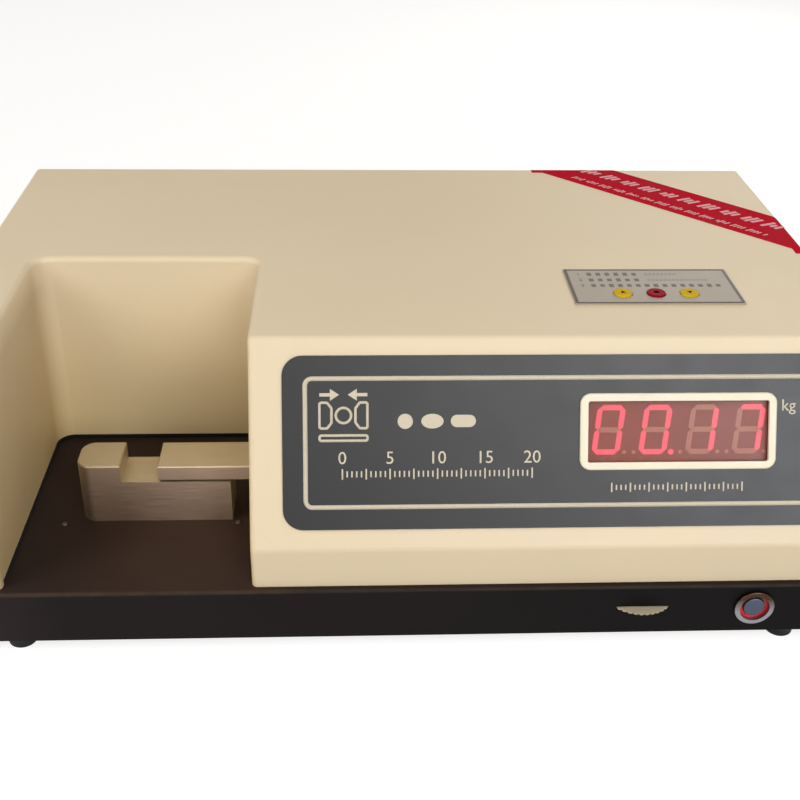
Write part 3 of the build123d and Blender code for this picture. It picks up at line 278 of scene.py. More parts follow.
@dataclass(frozen=True)
class Finish:
    """What every finish has: a name, and nodes that make its material."""

    name: str

    def lay(self, bench: Bench) -> None:
        """Adds the finish's own nodes; each kind of finish has its own."""
        raise NotImplementedError(self.name)

    def material(self) -> bpy.types.Material:
        """Makes the material.

        Returns:
            The new material.
        """
        bench = Bench(self.name)
        self.lay(bench)
        return bench.material


@dataclass(frozen=True)
class Dust:
    """Dust that settled on what lies flat, thicker along x, and a painted highlight on the rounded edges
    beside it.
    """

    tint: Tint
    edge: Tint
    heap_mm: Pair
    spent_mm: Pair
    thin_share: float = 0.35
    spent_share: float = 0.4

    def lay(self, bench: Bench, colour: Any) -> Any:
        """Adds the painted highlight on rounded edges and the dust to a colour.

        Args:
            bench: The material's tree.
            colour: The paint's own colour.

        Returns:
            The socket of the dusty, highlighted colour.
        """
        rise = bench.axis("Z", "Normal")
        flat = bench.spread(rise, (0.6, 0.95), (0.0, 1.0))
        patch = bench.varied(25, 3, MIDDLE, (0.8, 1.0))
        heap = bench.between("X", *self.heap_mm, (self.thin_share, 1.0))
        spent = bench.between("X", *self.spent_mm, (1.0, self.spent_share))
        dusty = bench.mixed(bench.product(flat, patch, heap, spent), colour, self.tint.linear())
        # Painted highlight: a lighter tint on faces between upright and flat, the rounded edges, patchy along
        # a noise.
        leaning = bench.spread(rise, (0.1, 0.4), (0.0, 1.0))
        turning = bench.spread(rise, (0.8, 0.98), (1.0, 0.0))
        highlight_patches = bench.varied(12, 3, (0.3, 0.6), (0.5, 1.0))
        return bench.mixed(bench.product(leaning, turning, highlight_patches, spent), dusty, self.edge.linear())


@dataclass(frozen=True)
class Soil:
    """Painted shade inside a recess: a darker tint towards its foot, and one on the wall at its left."""

    left_mm: float
    right_mm: float
    back_mm: float
    foot_mm: float
    brim_mm: float
    low: Tint
    side: Tint

    def lay(self, bench: Bench, colour: Any) -> Any:
        """Adds the painted shade to a colour.

        Args:
            bench: The material's tree.
            colour: The paint's own colour.

        Returns:
            The socket of the shaded colour.
        """
        past_left = bench.between("X", self.left_mm - 1.5, self.left_mm - 0.5)
        past_right = bench.between("X", self.right_mm + 0.5, self.right_mm + 1.5, (1.0, 0.0))
        ahead = bench.between("Y", self.back_mm, self.back_mm + 1.0, (1.0, 0.0))
        under = bench.between("Z", self.brim_mm - 8.0, self.brim_mm + 4.0, (1.0, 0.0))
        inside = bench.product(past_left, past_right, ahead, under)
        beside = bench.between("X", self.left_mm, self.left_mm + 7.0, (1.0, 0.0))
        shaded_wall = bench.tinted(bench.product(inside, beside), colour, self.side.linear())
        low = bench.between("Z", self.foot_mm, self.brim_mm, (1.0, 0.0))
        cloud = bench.varied(30, 3, MIDDLE, (0.85, 1.0))
        return bench.tinted(bench.product(inside, low, cloud), shaded_wall, self.low.linear())


@dataclass(frozen=True)
class Paint(Finish):
    """Sprayed paint with a faint orange peel, a drifting tone and, where asked, painted light and shade along
    x, dust with a painted edge highlight, or painted shade in a recess.
    """

    colour: Tint
    drift: float
    drift_mm: float
    peel_mm: float
    peel_depth_mm: float
    roughness: float
    specular: float
    over: Dust | Soil | None = None
    fade: tuple[Pair, ...] = ()

    def lay(self, bench: Bench) -> None:
        """Adds the paint's tone, what lies over it, its gloss and its peel.

        Args:
            bench: The material's tree.
        """
        colour = bench.shades(bench.noise(self.drift_mm, 3), self.colour, 1 - self.drift, 1 + self.drift)
        speck = bench.varied(0.5, 1, (0.35, 0.65), (0.0, 0.1))
        colour = bench.mixed(speck, colour, self.colour.linear(0.86))
        # Painted light and shade: the tone is multiplied by a tint that changes along x.
        if self.fade:
            colour = bench.tinted(1.0, colour, bench.along_x(self.fade))
        # What lies over the paint: dust with a painted edge highlight, or painted shade inside a recess.
        if self.over is not None:
            colour = self.over.lay(bench, colour)
        gloss = bench.varied(14, 2, MIDDLE, (self.roughness - 0.02, self.roughness + 0.02))
        bench.give({"Base Color": colour, "Roughness": gloss, "Specular IOR Level": self.specular})
        bench.bumped(bench.noise(self.peel_mm, 2), self.peel_depth_mm, 0.6)


@dataclass(frozen=True)
class Moulded(Finish):
    """Moulded plastic with a fine spark-eroded grain."""

    colour: Tint
    drift: float
    grain_mm: float
    grain_depth_mm: float
    roughness: float
    depth: float = 0.0
    specular: float = 0.5

    def lay(self, bench: Bench) -> None:
        """Adds the plastic's tone, its grain and a little light inside it.

        Args:
            bench: The material's tree.
        """
        tone = bench.shades(bench.noise(18, 2), self.colour, 1 - self.drift, 1 + self.drift)
        gloss = bench.varied(6, 2, MIDDLE, (self.roughness - 0.04, self.roughness + 0.06))
        bench.give({"Base Color": tone, "Roughness": gloss, "Specular IOR Level": self.specular})
        if self.depth:
            bench.give({"Subsurface Weight": self.depth, "Subsurface Radius": (0.002, 0.0015, 0.001)})
        grain = bench.add("ShaderNodeTexVoronoi", {"Vector": bench.place, "Scale": 1 / (self.grain_mm * MM)})
        bench.bumped(grain.outputs["Distance"], self.grain_depth_mm, 0.5)


@dataclass(frozen=True)
class Metal(Finish):
    """Bare or plated metal with brushed or cast grain, faint stains and, where asked, painted shade over its
    top and over its front.
    """

    colour: Tint
    brush: Brush
    grain_mm: float
    roughness: float
    stain: float
    metallic: float = 1.0
    tarnish_mm: Pair | None = None
    front: tuple[tuple[float, Tint], ...] = ()

    def lay(self, bench: Bench) -> None:
        """Adds the metal's grain, its scratches, its stains, and the painted shade of its top and of its
        front.

        Args:
            bench: The material's tree.
        """
        grain = bench.noise(self.grain_mm, 3, bench.stretched(self.brush.value))
        bright = bench.shades(grain, self.colour, 0.86, 1.08, (0.25, 0.75))
        stains = bench.varied(9, 3, (0.4, 0.75), (0.0, self.stain))
        colour = bench.mixed(stains, bright, self.colour.linear(0.45))
        # Painted shade over the top, above a height.
        if self.tarnish_mm is not None:
            colour = bench.mixed(bench.between("Z", *self.tarnish_mm), colour, TOP_SHADE.linear())
        # Painted shade on faces that look ahead: a tint that changes along x.
        if self.front:
            ahead = bench.spread(bench.axis("Y", "Normal"), (-0.9, -0.3), (1.0, 0.0))
            colour = bench.tinted(ahead, colour, bench.along_x(self.front))
        gloss = bench.spread(grain, (0.25, 0.75), (self.roughness - 0.08, self.roughness + 0.12))
        bench.give({"Base Color": colour, "Metallic": self.metallic, "Roughness": gloss})
        bench.bumped(grain, 0.006, 0.5)


@dataclass(frozen=True)
class Ink(Finish):
    """Screen-printed ink, slightly uneven, with a matt surface."""

    colour: Tint
    thinned: float = 0.32

    def lay(self, bench: Bench) -> None:
        """Adds the ink's tone.

        Args:
            bench: The material's tree.
        """
        thin = bench.varied(0.6, 2, (0.4, 0.7), (0.0, self.thinned))
        colour = bench.mixed(thin, self.colour.linear(), self.colour.linear(0.7))
        bench.give({"Base Color": colour, "Roughness": 0.6})
        bench.bumped(bench.noise(0.3, 2), 0.01, 0.4)


@dataclass(frozen=True)
class Glow(Finish):
    """A light-emitting stroke or ring, brighter where its chip sits behind it, with painted shade over its
    top where asked.
    """

    colour: Tint
    strength: float
    uneven_mm: float
    dim_mm: Pair | None = None

    def lay(self, bench: Bench) -> None:
        """Adds the light and its unevenness, and lays painted shade over it between two heights.

        Args:
            bench: The material's tree.
        """
        light = bench.shades(bench.noise(self.uneven_mm, 1), self.colour, 0.82)
        # Painted shade over the top of the ring, above a height.
        if self.dim_mm is not None:
            light = bench.mixed(bench.between("Z", *self.dim_mm), light, LENS_SHADE.linear())
        bench.give({"Base Color": light, "Roughness": 0.4})
        bench.give({"Emission Color": light, "Emission Strength": self.strength})


@dataclass(frozen=True)
class Filter(Finish):
    """A tinted window that is seen through, with a faint haze."""

    colour: Tint
    cover: float
    roughness: float
    specular: float = 0.12

    def lay(self, bench: Bench) -> None:
        """Adds the window's tint, how much it hides and its gloss.

        Args:
            bench: The material's tree.
        """
        haze = bench.noise(12, 3)
        gloss = bench.spread(haze, MIDDLE, (self.roughness - 0.05, self.roughness + 0.05))
        bench.give({"Base Color": bench.shades(haze, self.colour, 0.93, 1.05), "Roughness": gloss})
        bench.give({"Specular IOR Level": self.specular, "Alpha": self.cover})


@dataclass(frozen=True)
class Film(Finish):
    """Glossy printed film tape, with shallow wrinkles from being rubbed down."""

    colour: Tint

    def lay(self, bench: Bench) -> None:
        """Adds the film's tone and its wrinkles.

        Args:
            bench: The material's tree.
        """
        tone = bench.noise(22, 3)
        gloss = bench.spread(tone, MIDDLE, (0.5, 0.62))
        bench.give({"Base Color": bench.shades(tone, self.colour, 0.9, 1.1), "Roughness": gloss, "IOR": 1.06})
        wrinkle = bench.noise(7, 3, bench.stretched((1.0, 0.25, 1.0), (0, 0, 45)))
        bench.bumped(wrinkle, 0.12, 0.5)


@dataclass(frozen=True)
class Board(Finish):
    """A circuit board: green lacquer over copper tracks, with bright solder dots."""

    lacquer: Tint = Tint(25, 92, 50)
    track: Tint = Tint(60, 130, 70)
    solder: Tint = Tint(190, 192, 190)
    pitch_mm: float = 2.54

    def lay(self, bench: Bench) -> None:
        """Adds tracks as long bricks and solder dots on the usual pitch.

        Args:
            bench: The material's tree.
        """
        row = self.pitch_mm * MM
        inputs = {"Vector": bench.place, "Scale": 1.0, "Row Height": row, "Brick Width": 0.016}
        inputs |= {"Mortar Size": 0.00035, "Mortar": self.track.linear()}
        inputs |= {"Color1": self.lacquer.linear(), "Color2": self.lacquer.linear(1.15)}
        bricks = bench.add("ShaderNodeTexBrick", inputs)
        scaled = bench.stretched((1 / row, 1 / row, 0.0))
        dots = bench.add("ShaderNodeTexVoronoi", {"Vector": scaled, "Scale": 1.0, "Randomness": 0.0})
        near = bench.spread(dots.outputs["Distance"], (0.16, 0.22), (1.0, 0.0))
        some = bench.varied(9, 1, (0.52, 0.56), (0.0, 1.0))
        colour = bench.mixed(bench.product(near, some), bricks.outputs["Color"], self.solder.linear())
        bench.give({"Base Color": colour, "Roughness": 0.35})
        bench.bumped(bricks.outputs["Fac"], 0.04, 0.5)


@dataclass(frozen=True)
class Stacked(Finish):
    """Thin sheets or wire turns that lie side by side, seen as fine lines across one axis."""

    colour: Tint
    dark: Tint
    pitch_mm: float
    axis: str
    metallic: float

    def lay(self, bench: Bench) -> None:
        """Adds the lines.

        Args:
            bench: The material's tree.
        """
        inputs = {"Vector": bench.place, "Scale": math.pi / 10 / (self.pitch_mm * MM), "Distortion": 0.0}
        wave = bench.add("ShaderNodeTexWave", inputs, wave_type="BANDS", bands_direction=self.axis)
        line = wave.outputs["Fac"]
        colour = bench.ramp(line, [(0.1, self.dark.linear()), (0.6, self.colour.linear())])
        gloss = bench.varied(5, 2, MIDDLE, (0.3, 0.5))
        bench.give({"Base Color": colour, "Metallic": self.metallic, "Roughness": gloss})
        bench.bumped(line, 0.08, 0.7)


class Slot(Enum):
    """The record's material slots, each with the finish that it takes in the scene."""

    BASE_BLACK = Paint(
        "base_black", Tint(55, 46, 48), 0.10, 40.0, 0.9, 0.02, 0.5, 0.08,
        # Dust on flat faces, with a painted highlight on the rounded edges.
        Dust(Tint(58, 43, 35), Tint(62, 51, 41), (-176.0, -112.0), (-66.0, -40.0)),
        # Painted light and shade along x: lighter at the left, darker towards the right.
        ((-200.0, 1.0), (-174.0, 0.6), (-149.0, 0.34), (-72.0, 0.28), (0.0, 0.22), (100.0, 0.09),
         (200.0, 0.06)),
    )
    COVER_CREAM = Paint(
        "cover_cream", Tint(233, 216, 185), 0.015, 90.0, 1.8, 0.008, 0.5, 0.4,
        # Painted shade inside the bay: darker towards its foot and on its left wall.
        Soil(-173.0, -67.2, 0.0, 40.0, 125.0, Tint(247, 241, 217), Tint(228, 224, 219)),
    )
    PANEL_CHARCOAL = Paint("panel_charcoal", Tint(34, 33, 35), 0.06, 60.0, 0.7, 0.006, 0.42, 0.3)
    BEZEL_IVORY = Moulded("bezel_ivory", Tint(243, 237, 215), 0.02, 0.5, 0.006, 0.42, 0.05, 0.25)
    WINDOW_RED = Filter("window_red", Tint(174, 103, 92), 0.34, 0.24)
    DIGIT_FACE = Moulded("digit_face", Tint(158, 104, 96), 0.04, 0.5, 0.006, 0.5, 0.0, 0.2)
    BOARD_GREEN = Board("board_green")
    CHIP_BLACK = Moulded("chip_black", Tint(32, 32, 34), 0.08, 0.4, 0.012, 0.42)
    KEYPAD_GREY = Paint("keypad_grey", Tint(169, 160, 147), 0.02, 20.0, 0.4, 0.004, 0.5, 0.4)
    KEY_YELLOW = Moulded("key_yellow", Tint(215, 180, 26), 0.03, 0.5, 0.005, 0.5, 0.0, 0.04)
    KEY_RED = Moulded("key_red", Tint(146, 5, 30), 0.04, 0.5, 0.005, 0.5, 0.0, 0.04)
    ANVIL_PAINT = Metal(
        "anvil_paint", Tint(190, 173, 141), Brush.ALONG_X, 0.3, 0.46, 0.06, 0.92, None,
        # Painted shade over the front faces, darker towards the left.
        ((-148.0, Tint(196, 182, 186)), (-128.0, Tint(205, 190, 194)), (-112.0, Tint(235, 220, 233)),
         (-88.0, Tint(255, 243, 255))),
    )
    STEEL = Metal("steel", Tint(176, 176, 178), Brush.ALONG_X, 0.2, 0.3, 0.15)
    BRONZE = Metal("bronze", Tint(172, 128, 78), Brush.CAST, 0.4, 0.34, 0.25)
    ALUMINIUM = Metal("aluminium", Tint(196, 198, 200), Brush.ALONG_Y, 0.25, 0.36, 0.08)
    PLATED_STEEL = Metal("plated_steel", Tint(202, 200, 192), Brush.CAST, 0.5, 0.24, 0.1)
    BLACK_PLASTIC = Moulded("black_plastic", Tint(30, 29, 30), 0.08, 0.5, 0.015, 0.4)
    WHEEL_IVORY = Moulded("wheel_ivory", Tint(180, 170, 148), 0.03, 0.4, 0.006, 0.45, 0.05, 0.3)
    # Painted shade over the bezel's top, from z = 17.5 to 25 mm.
    BUTTON_METAL = Metal("button_metal", Tint(146, 146, 152), Brush.CAST, 0.3, 0.26, 0.08, 1.0, (17.5, 25.0))
    BUTTON_BLUE = Metal("button_blue", Tint(80, 86, 101), Brush.ALONG_X, 0.15, 0.4, 0.1)
    # Painted shade over the ring's top, from z = 20 to 24 mm.
    LENS_RED = Glow("lens_red", Tint(206, 28, 40), 0.08, 4.0, (20.0, 24.0))
    RUBBER_BLACK = Moulded("rubber_black", Tint(15, 13, 15), 0.15, 0.7, 0.03, 0.75, 0.0, 0.25)
    TAPE_RED = Film("tape_red", Tint(198, 6, 42))
    CORE_STEEL = Stacked("core_steel", Tint(120, 118, 116), Tint(40, 38, 38), 1.0, "Y", 0.9)
    WINDING = Stacked("winding", Tint(176, 96, 44), Tint(66, 30, 14), 0.7, "Z", 0.8)
    REAR_GREY = Paint("rear_grey", Tint(150, 148, 144), 0.05, 30.0, 0.7, 0.015, 0.5, 0.5)


class Extra(Enum):
    """Finishes of details that only the scene has."""

    LINE_INK = Ink("line_ink", Tint(212, 202, 180))
    DULL_STEEL = Metal("dull_steel", Tint(96, 84, 74), Brush.CAST, 0.4, 0.6, 0.3, 0.6)
    THREAD_STEEL = Stacked("thread_steel", Tint(182, 182, 184), Tint(70, 70, 72), 2.0, "X", 1.0)
    LABEL_INK = Ink("label_ink", Tint(100, 90, 86))
    PALE_INK = Ink("pale_ink", Tint(150, 146, 142))
    MARK_INK = Ink("mark_ink", Tint(120, 60, 20))
    TAPE_INK = Ink("tape_ink", Tint(230, 166, 172), 0.48)
    LIT_STROKE = Glow("lit_stroke", Tint(255, 85, 115), 1.3, 3.0)
    DARK_STROKE = Moulded("dark_stroke", Tint(246, 190, 164), 0.02, 0.4, 0.004, 0.45)
    FLOOR = Moulded("pale_floor", Tint(170, 170, 170), 0.01, 3.0, 0.01, 0.8)


# Places and meshes


@dataclass(frozen=True)
class Face:
    """A flat face that things are laid on: x runs across it, y up it and z out of it, all in millimetres."""

    origin: Triple
    across: Triple = (1.0, 0.0, 0.0)
    up: Triple = (0.0, 1.0, 0.0)

    def matrix(self, x: float = 0.0, y: float = 0.0, z: float = 0.0) -> Matrix:
        """The place of a point of the face in the shared frame.

        Args:
            x: How far across.
            y: How far up.
            z: How far out.

        Returns:
            A matrix from millimetres on the face to metres in the frame.
        """
        right, rise = Vector(self.across).normalized(), Vector(self.up).normalized()
        out = right.cross(rise)
        turn = Matrix((right, rise, out)).transposed().to_4x4()
        return Matrix.Scale(MM, 4) @ Matrix.Translation(self.origin) @ turn @ Matrix.Translation((x, y, z))


def placed(name: str, data: Any) -> bpy.types.Object:
    """Makes an object in the scene.

    Args:
        name: The object's name.
        data: Its mesh, curve, light or camera.

    Returns:
        The object.
    """
    thing = bpy.data.objects.new(name, data)
    bpy.context.collection.objects.link(thing)
    return thing


def settled(name: str, thing: bpy.types.Object) -> bpy.types.Mesh:
    """Keeps what an object has become as a plain mesh, and removes the object.

    Args:
        name: The mesh's name.
        thing: An object with modifiers, or a curve.

    Returns:
        The mesh.
    """
    graph = bpy.context.evaluated_depsgraph_get()
    mesh = bpy.data.meshes.new_from_object(thing.evaluated_get(graph), depsgraph=graph)
    mesh.name = name
    bpy.data.objects.remove(thing)
    return mesh


class Shaper:
    """Makes closed meshes in millimetres, with their normals outwards."""

    SMOOTH_DEGREES = 35.0

    @staticmethod
    def finished(form: bmesh.types.BMesh, name: str) -> bpy.types.Mesh:
        """Turns a form into a mesh with smooth rounds and sharp edges.

        Args:
            form: The bmesh, which is freed.
            name: The mesh's name.

        Returns:
            The mesh.
        """
        bmesh.ops.recalc_face_normals(form, faces=form.faces)
        mesh = bpy.data.meshes.new(name)
        form.to_mesh(mesh)
        form.free()
        mesh.shade_smooth()
        mesh.set_sharp_from_angle(angle=math.radians(Shaper.SMOOTH_DEGREES))
        return mesh

    @staticmethod
    def prism(name: str, outlines: Iterable[Sequence[Pair]], low: float, high: float) -> bpy.types.Mesh:
        """Flat outlines raised into one mesh of plates.

        Args:
            name: The mesh's name.
            outlines: Closed outlines, each a plate of its own.
            low: Where the plates start.
            high: Where they end.

        Returns:
            The mesh.
        """
        form = bmesh.new()
        for outline in outlines:
            under = [form.verts.new((x, y, low)) for x, y in outline]
            over = [form.verts.new((x, y, high)) for x, y in outline]
            form.faces.new(under)
            form.faces.new(over)
            for number, vert in enumerate(under):
                after = (number + 1) % len(under)
                form.faces.new((vert, under[after], over[after], over[number]))
        return Shaper.finished(form, name)

    @staticmethod
    def lathe(name: str, profile: Sequence[Pair], steps: int) -> bpy.types.Mesh:
        """A profile turned round the z axis.

        Args:
            name: The mesh's name.
            profile: Radius and height of each point, with radius 0 at both ends, or closed on itself.
            steps: How many sides the turned form has.

        Returns:
            The mesh.
        """
        form = bmesh.new()
        angles = [2 * math.pi * step / steps for step in range(steps)]
        rings = []
        for radius, height in profile:
            ring = [(radius * math.cos(a), radius * math.sin(a), height) for a in angles]
            rings.append([form.verts.new(point) for point in (ring if radius else ring[:1])])
        pairs = list(zip(rings, rings[1:]))
        if profile[0][0] and profile[-1][0]:
            pairs.append((rings[-1], rings[0]))
        for one, other in pairs:
            for step in range(steps):
                near, far = step % len(one), (step + 1) % steps % len(one)
                back, ahead = step % len(other), (step + 1) % steps % len(other)
                corners = list(dict.fromkeys((one[near], one[far], other[ahead], other[back])))
                if len(corners) > 2:
                    form.faces.new(corners)
        return Shaper.finished(form, name)

    @staticmethod
    def arc(centre: Pair, radius: Pair, angles: Pair, steps: int = 12) -> list[Pair]:
        """Points of an arc or part of an ellipse, in degrees."""
        turns = [math.radians(angles[0] + (angles[1] - angles[0]) * n / steps) for n in range(steps + 1)]
        return [(centre[0] + radius[0] * math.cos(a), centre[1] + radius[1] * math.sin(a)) for a in turns]

    @staticmethod
    def pill(centre: Pair, width: float, height: float) -> list[Pair]:
        """The outline of a bar with round ends.

        Args:
            centre: The bar's middle.
            width: Its whole length.
            height: Its height, and the width of its round ends.

        Returns:
            The outline's points.
        """
        half, radius = (width - height) / 2, height / 2
        right = Shaper.arc((centre[0] + half, centre[1]), (radius, radius), (-90, 90))
        return right + Shaper.arc((centre[0] - half, centre[1]), (radius, radius), (90, 270))


# Geometry Nodes


class Pattern(Tree):
    """A Geometry Nodes tree made here, with named inputs, that ends in plain geometry with a material."""

    def __init__(self, name: str) -> None:
        """Starts a tree with a geometry input.

        Args:
            name: The tree's name.
        """
        super().__init__(bpy.data.node_groups.new(name, "GeometryNodeTree"))
        self.identifiers: dict[str, str] = {}
        self.entry = self.add("NodeGroupInput")
        for way in ("INPUT", "OUTPUT"):
            self.tree.interface.new_socket("Geometry", in_out=way, socket_type="NodeSocketGeometry")
        self.finish = self.ask("NodeSocketMaterial", "Finish")[0]

    def ask(self, kind: str, *names: str) -> list[Any]:
        """Adds named inputs of one kind.

        Args:
            kind: The type of their sockets.
            *names: The inputs' names.

        Returns:
            Their sockets inside the tree.
        """
        for name in names:
            item = self.tree.interface.new_socket(name, in_out="INPUT", socket_type=kind)
            self.identifiers[name] = item.identifier
        sockets = {socket.identifier: socket for socket in self.entry.outputs}
        return [sockets[self.identifiers[name]] for name in names]

    def vector(self, x: Any = 0.0, y: Any = 0.0, z: Any = 0.0) -> Any:
        """A vector put together from its parts."""
        return self.add("ShaderNodeCombineXYZ", {0: x, 1: y, 2: z}).outputs[0]

    def box(self, x: Any, y: Any, z: Any) -> Any:
        """A box of that size round the origin."""
        return self.add("GeometryNodeMeshCube", {"Size": self.vector(x, y, z)}).outputs["Mesh"]

    def chance(self, seed: Any, least: Any = 0.0) -> Any:
        """A random value for each point.

        Args:
            seed: The socket of the seed.
            least: The lowest value, where the highest is 1.

        Returns:
            The socket of the value.
        """
        node = self.add("FunctionNodeRandomValue", {"Seed": seed}, data_type="FLOAT")
        self.feed(next(s for s in node.inputs if s.name == "Min" and s.type == "VALUE"), least)
        return next(s for s in node.outputs if s.type == "VALUE")

    def copied(self, points: Any, form: Any, turn: Any, more: Mapping[str, Any] | None = None) -> Pattern:
        """Ends the tree with a form at each point, turned about z; more holds further inputs of that node."""
        inputs = {"Points": points, "Instance": form, "Rotation": self.vector(0.0, 0.0, turn), **(more or {})}
        return self.close(self.add("GeometryNodeInstanceOnPoints", inputs).outputs[0])

    def close(self, geometry: Any) -> Pattern:
        """Ends the tree: instances become real and take the finish.

        Args:
            geometry: The socket of what was made.

        Returns:
            This pattern.
        """
        real = self.add("GeometryNodeRealizeInstances", {0: geometry}).outputs[0]
        inked = self.add("GeometryNodeSetMaterial", {"Geometry": real, "Material": self.finish})
        self.add("NodeGroupOutput", {0: inked.outputs[0]})
        return self

    def grow(
        self,
        name: str,
        sizes: Mapping[str, Any],
        seeds: Sequence[Triple] = (),
        links: Sequence[tuple[int, int]] = (),
    ) -> bpy.types.Mesh:
        """Runs the tree once and keeps its result as a plain mesh.

        Args:
            name: The mesh's name.
            sizes: Values by input name.
            seeds: Points that the tree starts from, where it needs any.
            links: Which of the points are joined by a line.

        Returns:
            The mesh, in millimetres.
        """
        start = bpy.data.meshes.new(name + "_start")
        start.from_pydata([tuple(seed) for seed in seeds], list(links), [])
        carrier = placed(name + "_carrier", start)
        modifier = carrier.modifiers.new("pattern", "NODES")
        modifier.node_group = self.tree
        for label, value in sizes.items():
            modifier[self.identifiers[label]] = value
        made = settled(name, carrier)
        bpy.data.meshes.remove(start)
        return made


class Patterns:
    """The trees that the tester's details are grown from."""

    def __init__(self) -> None:
        """Makes each tree once."""
        self.row = self._row()
        self.ring = self._ring()
        self.screws = self._screws()
        self.line = self._line()

    @staticmethod
    def _row() -> Pattern:
        """Bars in a row along x, each turned and given a random length, with every so many left out.

        Returns:
            The pattern.
        """
        made = Pattern("row_of_bars")
        count, seed, every, group = made.ask("NodeSocketInt", "Count", "Seed", "Every", "Group")
        pitch, width, height, thickness = made.ask("NodeSocketFloat", "Pitch", "Width", "Height", "Thickness")
        slant, least, tall = made.ask("NodeSocketFloat", "Slant", "Least share", "Tall share")
        inputs = {"Count": count, "Offset": made.vector(pitch)}
        line = made.add("GeometryNodeMeshLine", inputs, mode="OFFSET", count_mode="TOTAL")
        index = made.add("GeometryNodeInputIndex").outputs[0]
        step = made.maths("COMPARE", made.maths("MODULO", index, every), 0.0)
        extra = made.product(step, made.maths("SUBTRACT", tall, 1.0))
        share = made.product(made.chance(seed, least), made.maths("ADD", extra, 1.0))
        kept = made.maths("LESS_THAN", made.maths("MODULO", index, group), made.maths("SUBTRACT", group, 1.5))
        more = {"Selection": kept, "Scale": made.vector(1.0, share, 1.0)}
        return made.copied(line.outputs[0], made.box(width, height, thickness), slant, more)

    @staticmethod
    def _ring() -> Pattern:
        """Ribs in a ring round z.

        Returns:
            The pattern.
        """
        made = Pattern("ring_of_ribs")
        (count,) = made.ask("NodeSocketInt", "Count")
        radius, width, depth, height = made.ask("NodeSocketFloat", "Radius", "Width", "Depth", "Height")
        circle = made.add("GeometryNodeMeshCircle", {"Vertices": count, "Radius": radius})
        index = made.add("GeometryNodeInputIndex").outputs[0]
        turn = made.product(index, made.maths("DIVIDE", 2 * math.pi, count))
        return made.copied(circle.outputs[0], made.box(depth, width, height), turn)

    @staticmethod
    def _screws() -> Pattern:
        """One screw copied to given points, each turned by a random angle round its axis.

        Returns:
            The pattern.
        """
        made = Pattern("screws_at_points")
        (model,) = made.ask("NodeSocketObject", "Model")
        (seed,) = made.ask("NodeSocketInt", "Seed")
        form = made.add("GeometryNodeObjectInfo", {"Object": model}).outputs["Geometry"]
        return made.copied(made.entry.outputs[0], form, made.product(made.chance(seed), math.pi))

    @staticmethod
    def _line() -> Pattern:
        """A printed line that follows closed loops of corners and rounds them.

        Returns:
            The pattern.
        """
        made = Pattern("printed_line")
        radius, line, thickness = made.ask("NodeSocketFloat", "Radius", "Line", "Thickness")
        path = made.add("GeometryNodeMeshToCurve", {"Mesh": made.entry.outputs[0]})
        level = made.add("GeometryNodeSetCurveNormal", {"Curve": path.outputs[0]}, mode="Z_UP")
        inputs = {"Curve": level.outputs[0], "Radius": radius, "Count": 8, "Limit Radius": True}
        soft = made.add("GeometryNodeFilletCurve", inputs, mode="POLY")
        section = made.add("GeometryNodeCurvePrimitiveQuadrilateral", {"Width": line, "Height": thickness})
        inputs = {"Curve": soft.outputs[0], "Profile Curve": section.outputs[0]}
        return made.close(made.add("GeometryNodeCurveToMesh", inputs).outputs[0])


# The workshop


